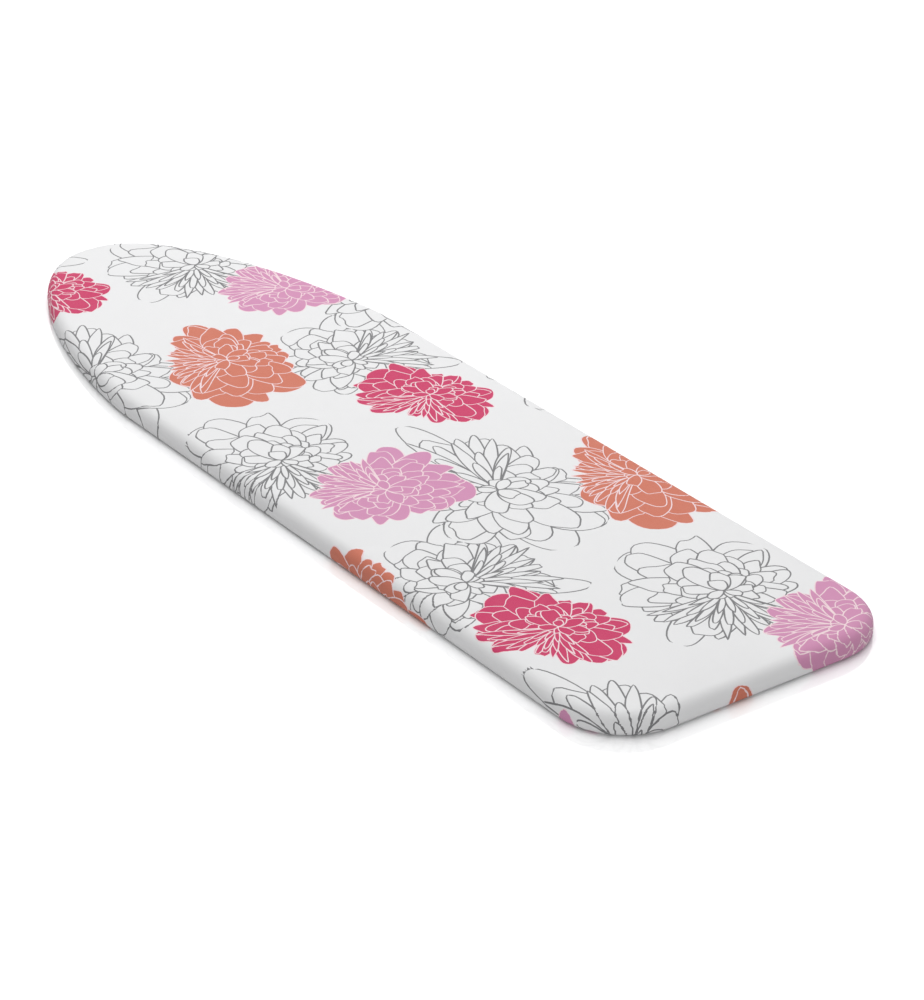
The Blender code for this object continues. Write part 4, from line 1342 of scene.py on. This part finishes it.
def turned_mesh(
    name: str, profile: Sequence[Point], steps: int, material: bpy.types.Material, cuts: int = 0
) -> bpy.types.Object:
    """Turns a profile of (radius, height) points about Z into a closed body.

    Args:
        name: Name of the object.
        profile: Points from the axis at the bottom to the axis at the top.
        steps: Corners round the axis.
        material: Its material.
        cuts: Arms of the drive recess in the top, or 0 for none.

    Returns:
        The body.
    """
    bm = bmesh.new()
    rings = []
    for radius, height in profile:
        if radius == 0.0:
            rings.append([bm.verts.new((0, 0, height))])
            continue
        ring = []
        for k in range(steps):
            a = 2 * math.pi * k / steps
            deep = 0.0
            if cuts and radius < 0.6 * profile[0][0] and abs(math.sin(a * cuts / 2)) < 0.5:
                deep = 0.30 * profile[0][0]
            ring.append(bm.verts.new((radius * math.cos(a), radius * math.sin(a), height - deep)))
        rings.append(ring)
    for low, high in zip(rings, rings[1:]):
        for k in range(steps):
            corners = [
                low[k % len(low)], low[(k + 1) % len(low)], high[(k + 1) % len(high)], high[k % len(high)]
            ]
            unique = list(dict.fromkeys(corners))
            if len(unique) > 2:
                bm.faces.new(unique)
    if len(rings[0]) > 1:
        bm.faces.new(rings[0][::-1])
    bmesh.ops.recalc_face_normals(bm, faces=bm.faces)
    mesh = bpy.data.meshes.new(name)
    bm.to_mesh(mesh)
    bm.free()
    mesh.materials.append(material)
    ob = bpy.data.objects.new(name, mesh)
    bpy.context.scene.collection.objects.link(ob)
    return ob


def circle(centre: Sequence[float], axis: int, radius: float, count: int = 28) -> np.ndarray:
    """Points of a circle about a centre, square to the axis of that number."""
    a = np.arange(count) / count * 2 * math.pi
    points = np.tile(np.asarray(centre, float), (count, 1))
    others = [k for k in range(3) if k != axis]
    points[:, others[0]] += radius * np.cos(a)
    points[:, others[1]] += radius * np.sin(a)
    return points


# ------------------------------------------------------------------ sub-assemblies
@dataclass
class FeltPad:
    """The needled felt layer, cut to the flat top and laid on the deck."""

    plan: BoardPlan
    low: float
    high: float
    inset: float = 0.0143
    soft: float = 0.0009
    sway: float = 0.00012

    def build(self, felt: bpy.types.Material) -> bpy.types.Object:
        """Makes the pad as a closed form with soft edges and a slightly uneven face."""
        e = self.soft
        stack = [
            (0.012, self.low), (e, self.low), (0.3 * e, self.low + 0.3 * e), (0.0, self.low + e),
            (0.0, self.high - e), (0.3 * e, self.high - 0.3 * e), (e, self.high), (0.012, self.high)
        ]
        vertices, faces, count = [], [], 300
        for inset, height in stack:
            ring, _ = self.plan.ring(self.inset + inset, count)
            sway = self.sway * np.sin(ring[:, 0] * 63 + 2 * np.sin(ring[:, 1] * 41)) * np.sin(ring[:, 1] * 55)
            vertices.append(np.column_stack([ring, height + sway * (inset >= e)]))
        for level in range(len(stack) - 1):
            at = np.arange(count)
            after = (at + 1) % count
            faces += np.stack([at, after, after + count, at + count], 1).__add__(level * count).tolist()
        top = (len(stack) - 1) * count
        faces += [list(range(count))[::-1], list(range(top, top + count))]
        pad = mesh_object("felt_pad", np.concatenate(vertices), faces, [felt], smooth=True)
        LOG.info("felt pad: %d faces", len(faces))
        return pad


@dataclass
class MeshDeck:
    """The ironing deck: expanded steel mesh spot-welded to a flat border."""

    plan: BoardPlan
    low: float
    high: float
    edge: float = 0.0061
    border: float = 0.024
    cell: Point = (0.026, 0.0115)
    strand: float = 0.0020

    def build(self, steel: bpy.types.Material, recipes: Recipes) -> list[bpy.types.Object]:
        """Makes the border, the mesh and its spot welds."""
        return [self._border(steel), self._mesh(steel, recipes), self._welds(steel, recipes)]

    def _border(self, steel: bpy.types.Material) -> bpy.types.Object:
        """Makes the flat border as a closed band."""
        count, vertices, faces = 320, [], []
        section = [
            (self.edge, self.low + 0.0002), (self.edge + 0.0003, self.low), (self.edge + self.border, self.low),
            (self.edge + self.border, self.high), (self.edge + 0.0003, self.high),
            (self.edge, self.high - 0.0002)
        ]
        for inset, height in section:
            ring, _ = self.plan.ring(inset, count)
            vertices.append(np.column_stack([ring, np.full(count, height)]))
        at = np.arange(count)
        after = (at + 1) % count
        for k in range(len(section)):
            a, b = k * count, (k + 1) % len(section) * count
            faces += np.stack([at + a, at + b, after + b, after + a], 1).tolist()
        made = mesh_object("deck_border", np.concatenate(vertices), faces, [steel])
        bm = bmesh.new()
        bm.from_mesh(made.data)
        bmesh.ops.recalc_face_normals(bm, faces=bm.faces)
        bm.to_mesh(made.data)
        bm.free()
        LOG.info("deck border: %d faces", len(faces))
        return made

    def _mesh(self, steel: bpy.types.Material, recipes: Recipes) -> bpy.types.Object:
        """Makes the strands inside the border with the cells recipe."""
        limit, _ = self.plan.ring(self.edge + self.border - 0.004, 400)
        long, wide = self.cell
        columns, rows = int(self.plan.length / long * 2) + 4, int(self.plan.width / wide) + 4
        grid = np.array(
            [
                ((i - columns / 2) * long / 2, ((j - rows // 2) + (0.5 if i % 2 else 0.0)) * wide)
                for i in range(columns) for j in range(rows)
            ]
        )
        grid = grid[winding(grid, limit) > 0]
        middle = (self.low + self.high) / 2
        carrier = points_carrier(np.column_stack([grid, np.full(len(grid), middle)]))
        return recipes.cells.run(
            "deck_mesh", carrier, steel, Cell_Length=long, Cell_Width=wide, Strand=self.strand,
            Thickness=self.high - self.low - 0.0003
        )

    def _welds(self, steel: bpy.types.Material, recipes: Recipes) -> bpy.types.Object:
        """Makes the row of spot welds under the border."""
        ring, _ = self.plan.ring(self.edge + self.border - 0.005, 600)
        line = np.column_stack([ring, np.full(len(ring), self.low)])
        return recipes.along.run(
            "deck_spot_welds", lines_carrier([line]), steel, Pitch=0.030, Length=0.0034, Width=0.0034,
            Height=0.0005, Unevenness=0.12, Seed=5
        )


@dataclass
class HemWork:
    """Sewing of the hem: the casing's double row."""

    cover: PrintedCover
    pitch: float = 0.0036
    rows: Point = (0.0098, 0.0126)
    thread: float = 0.00045

    def build(self, thread: bpy.types.Material, recipes: Recipes) -> list[bpy.types.Object]:
        """Makes the stitches on the hem's lower face, following its gathers."""
        runs = self.cover.lengths(self.cover.profile())
        lines = []
        for inset in self.rows:
            border, normals = self.cover.plan.ring(self.cover.roll, 1500)
            placed, _ = self.cover.wrap(border + normals * self._reach(inset, runs))
            placed[:, 2] -= 0.00005
            lines.append(placed)
        return [
            recipes.along.run(
                "hem_stitches", lines_carrier(lines), thread, Pitch=self.pitch, Length=self.pitch * 0.78,
                Width=self.thread, Height=self.thread, Unevenness=0.08, Seed=11
            )
        ]

    def _reach(self, inset: float, runs: np.ndarray) -> float:
        """Distance along the profile to a place on its flat lower stretch."""
        line = self.cover.profile()
        start = 12
        return float(runs[start] + (line[start, 0] - (self.cover.roll - inset)))


@dataclass
class LegWork:
    """Welds on the two pairs of legs."""

    bead: float = 0.0019

    def rings(self) -> dict[str, list[np.ndarray]]:
        """Weld lines of each pair of legs, from the tubes they join."""
        found: dict[str, list[np.ndarray]] = {"rear_legs": [], "front_legs": []}
        for body, foot, legs, side in (
            ("rear_legs", "rear_foot_tube", ("rear_leg_l", "rear_leg_r"), -1),
            ("front_legs", "front_foot_tube", ("front_leg_l", "front_leg_r"), 1)
        ):
            low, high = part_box(foot)
            x = low.x if side < 0 else high.x
            for leg in legs:
                a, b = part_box(leg)
                found[body].append(
                    circle(
                        (x + side * 0.0006, (a.y + b.y) / 2, (low.z + high.z) / 2), 0,
                        (high.z - low.z) / 2 + 0.0001
                    )
                )
        low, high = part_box("rear_brace")
        for y in (low.y + 0.0002, high.y - 0.0002):
            found["rear_legs"].append(
                circle(((low.x + high.x) / 2, y, (low.z + high.z) / 2), 1, (high.z - low.z) / 2 + 0.0002)
            )
        return found

    def build(self, coat: bpy.types.Material, recipes: Recipes) -> list[tuple[bpy.types.Object, str]]:
        """Makes the weld ripples of each body and says which body each rides on."""
        made = []
        for body, lines in self.rings().items():
            piece = recipes.along.run(
                f"{body}_welds", lines_carrier(lines), coat, Pitch=self.bead * 0.55, Length=self.bead,
                Width=self.bead * 1.25, Height=self.bead * 0.8, Unevenness=0.16, Seed=17
            )
            made.append((piece, body))
        return made


@dataclass
class UndersideWork:
    """Fasteners and moulded details on the board's underside and its height lock."""

    rivet: float = 0.0030
    rivet_pitch: float = 0.076
    rib_pitch: float = 0.0031

    def build(
        self, zinc: bpy.types.Material, grip: bpy.types.Material, recipes: Recipes
    ) -> list[tuple[bpy.types.Object, str]]:
        """Makes the rivets, the screws and the grip's ribs, with the body each rides on."""
        return [
            (self._rivets(zinc, recipes), "board"), (self._screws(zinc, recipes), "board"),
            (self._ribs(grip, recipes), "height_lock")
        ]

    def _rivets(self, zinc: bpy.types.Material, recipes: Recipes) -> bpy.types.Object:
        """Makes the flat rivets that hold the rail's plate to the deck."""
        low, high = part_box("rail_plate")
        r = self.rivet
        head = turned_mesh(
            "rivet", [(r, 0.0), (r, 0.12 * r), (0.78 * r, 0.28 * r), (0.3 * r, 0.32 * r), (0.0, 0.26 * r)], 16,
            zinc
        )
        count = int((high.x - low.x - 0.03) / self.rivet_pitch) + 1
        start = (low.x + high.x) / 2 - (count - 1) / 2 * self.rivet_pitch
        points = [(start + k * self.rivet_pitch, y, low.z) for k in range(count) for y in (-0.0085, 0.0085)]
        piece = recipes.fasteners.run("rail_rivets", points_carrier(points), zinc, Part=head, Size=1.0, Seed=3)
        bpy.data.objects.remove(head)
        return piece

    def _screws(self, zinc: bpy.types.Material, recipes: Recipes) -> bpy.types.Object:
        """Makes the pan-head screws of the rail's ends."""
        r = 0.0021
        head = turned_mesh(
            "screw",
            [
                (r, 0.0), (r, 0.25 * r), (0.82 * r, 0.62 * r), (0.5 * r, 0.74 * r), (0.25 * r, 0.78 * r),
                (0.0, 0.46 * r)
            ],
            16, zinc, cuts=4
        )
        points = []
        for node in ("rail_end_tail", "rail_end_nose"):
            low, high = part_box(node)
            points += [((low.x + high.x) / 2, y, low.z) for y in (low.y * 0.6, high.y * 0.6)]
        piece = recipes.fasteners.run(
            "rail_end_screws", points_carrier(points), zinc, Part=head, Size=1.0, Seed=9
        )
        bpy.data.objects.remove(head)
        return piece

    def _ribs(self, grip: bpy.types.Material, recipes: Recipes) -> bpy.types.Object:
        """Makes the finger ribs across the grip's lower face."""
        low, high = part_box("lock_grip")
        x, z = (low.x + high.x) / 2, low.z + 0.0001
        line = np.array([(x, low.y + 0.008, z), (x, high.y - 0.009, z)])
        wide = (high.x - low.x) * 0.62
        return recipes.along.run(
            "grip_ribs", lines_carrier([line], closed=False), grip, Pitch=self.rib_pitch, Length=0.0013,
            Width=wide, Height=0.0012, Unevenness=0.0, Seed=1
        )


@dataclass
class Fittings:
    """Finishes of the frame's own nodes, by the finish that the record names."""

    makers: dict[str, Finish] = field(default_factory=lambda: {
        "pale grey powder coat, satin": PowderCoat("powder_coat", (0.56, 0.58, 0.60)),
        "zinc plated": ZincPlate("zinc_plate", (0.66, 0.67, 0.69)),
        "galvanised sheet": ZincPlate("galvanised", (0.60, 0.62, 0.64), roughness=0.42, spangle=0.2),
        "moulded nylon": Moulded("nylon", (0.035, 0.037, 0.042), roughness=0.48),
        "moulded rubber": Moulded(
            "rubber", (0.012, 0.012, 0.013), roughness=0.78, grain=800.0, depth=0.0002, dust=0.4
        ),
        "moulded grip": Moulded("grip_red", (0.50, 0.03, 0.10), roughness=0.42, grain=1000.0, dust=0.15),
        "covered elastic cord": PlainCotton("elastic", (0.74, 0.74, 0.72), thread=0.0008),
        "needled felt": Felt("felt", (0.52, 0.52, 0.51)),
    })

    def build(self, effects: Effects) -> dict[str, bpy.types.Material]:
        """Makes each finish's material once."""
        return {label: finish.build(effects) for label, finish in self.makers.items()}

    def dress(
        self, nodes: dict[str, bpy.types.Object], record: dict, made: dict[str, bpy.types.Material]
    ) -> None:
        """Gives every node the material of its slot in the record."""
        for slot in record["materials"]:
            node = nodes.get(slot["slot"])
            material = made.get(slot["finish"])
            if node is None or material is None:
                continue
            while len(node.data.materials) < 1:
                node.data.materials.append(None)
            for k in range(len(node.material_slots)):
                node.material_slots[k].material = material
            LOG.info("%s: %s", node.name, material.name)


@dataclass
class Studio:
    """Camera, pale floor and soft light."""

    eye: Colour = (2.7592, -1.8876, 1.6904)
    look: Colour = (-0.717671, 0.519106, -0.464195)
    lens: float = 120.446
    floor_half: float = 9.0

    def build(self, effects: Effects) -> None:
        """Makes the studio and sets the scene's camera."""
        scene = bpy.context.scene
        camera = bpy.data.objects.new("camera", bpy.data.cameras.new("camera"))
        scene.collection.objects.link(camera)
        camera.location = self.eye
        camera.rotation_mode = "QUATERNION"
        camera.rotation_quaternion = Vector(self.look).to_track_quat("-Z", "Y")
        camera.data.lens, camera.data.clip_start, camera.data.clip_end = self.lens, 0.02, 60.0
        scene.camera = camera
        h = self.floor_half
        floor = mesh_object(
            "studio_floor", [(-h, -h, 0), (h, -h, 0), (h, h, 0), (-h, h, 0)], [(0, 1, 2, 3)],
            [GlossFloor("floor_seal", (0.93, 0.93, 0.935)).build(effects)]
        )
        floor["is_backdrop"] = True
        self._lamp("overhead", (-0.9, 0.7, 3.2), (0.0, 0.0, 0.0), 3.4, 112.0)
        self._lamp("side_fill", (3.2, -1.9, 1.5), (0.1, 0.0, 0.0), 2.2, 30.0)
        self._lamp("back_card", (-5.0, 3.6, 3.1), (0.0, 0.0, 0.1), 5.5, 105.0)
        world = bpy.data.worlds.new("soft_white")
        world.use_nodes = True
        scene.world = world
        back = world.node_tree.nodes["Background"]
        back.inputs[0].default_value, back.inputs[1].default_value = (1.0, 1.0, 1.0, 1.0), 0.42
        scene.view_settings.view_transform = "Standard"

    @staticmethod
    def _lamp(name: str, place: Sequence[float], at: Sequence[float], size: float, power: float) -> None:
        """Adds a square soft light that looks at a point."""
        data = bpy.data.lights.new(name, "AREA")
        data.size, data.energy = size, power
        lamp = bpy.data.objects.new(name, data)
        bpy.context.scene.collection.objects.link(lamp)
        lamp.location = place
        lamp.rotation_mode = "QUATERNION"
        lamp.rotation_quaternion = (Vector(at) - Vector(place)).to_track_quat("-Z", "Y")


# ------------------------------------------------------------------ the whole board
def corners() -> list[list[float]]:
    """The shown object's lowest and highest corners as plain lists."""
    return [[float(v) for v in corner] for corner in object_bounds()]


def keep(piece: bpy.types.Object, body: str, slot: str, *nodes: str) -> bpy.types.Object:
    """Fixes a finished piece to its body, in place of the nodes it stands for."""
    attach(piece, body)
    if nodes:
        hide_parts(*nodes)
    LOG.info("%s rides on %s", piece.name, body)
    return piece


def main() -> None:
    """Builds the board's looks in order, from the deck up, and then the studio."""
    logging.basicConfig(level=logging.INFO, format="%(name)s: %(message)s")
    for stray in ("Cube", "Light", "Camera"):
        if stray in bpy.data.objects:
            bpy.data.objects.remove(bpy.data.objects[stray])
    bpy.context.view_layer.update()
    effects, recipes, fittings = Effects(), Recipes(), Fittings()
    made = fittings.build(effects)
    fittings.dress(frame["nodes"], frame["record"], made)

    low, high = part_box("cover_fabric")
    plan = BoardPlan(high.x - low.x, high.y - low.y)
    cover = PrintedCover(plan, high.z, low.z)
    inks = {
        ink: PrintedCotton(f"print_{ink.name.lower()}", cover.inks[ink.value]).build(effects) for ink in Ink
    }
    lining = PlainCotton("cover_lining", (0.76, 0.76, 0.75)).build(effects)
    thread = PlainCotton("sewing_thread", (0.84, 0.84, 0.83), roughness=0.6).build(effects)

    pad_low, pad_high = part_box("pad_felt")
    pad = keep(
        FeltPad(plan, pad_low.z, pad_high.z).build(made["needled felt"]), "board", "pad_felt", "pad_felt"
    )
    deck_low, deck_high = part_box("deck_panel")
    border, strands, welds = MeshDeck(plan, deck_low.z, deck_high.z).build(made["galvanised sheet"], recipes)
    keep(border, "board", "deck_panel", "deck_panel")
    for piece in (strands, welds):
        keep(piece, "board", "deck_panel")
    cloth = keep(cover.build(inks, lining), "board", "cover_fabric", "cover_fabric")
    for piece in HemWork(cover).build(thread, recipes):
        keep(piece, "board", "cover_fabric")
    for piece, body in LegWork().build(made["pale grey powder coat, satin"], recipes):
        keep(piece, body, "rear_foot_tube" if body == "rear_legs" else "front_foot_tube")
    slots = {"rail_rivets": "rail_plate", "rail_end_screws": "rail_plate", "grip_ribs": "lock_grip"}
    for piece, body in UndersideWork().build(made["zinc plated"], made["moulded grip"], recipes):
        keep(piece, body, slots[piece.name])

    Studio().build(effects)


if __name__ == "__main__":
    main()
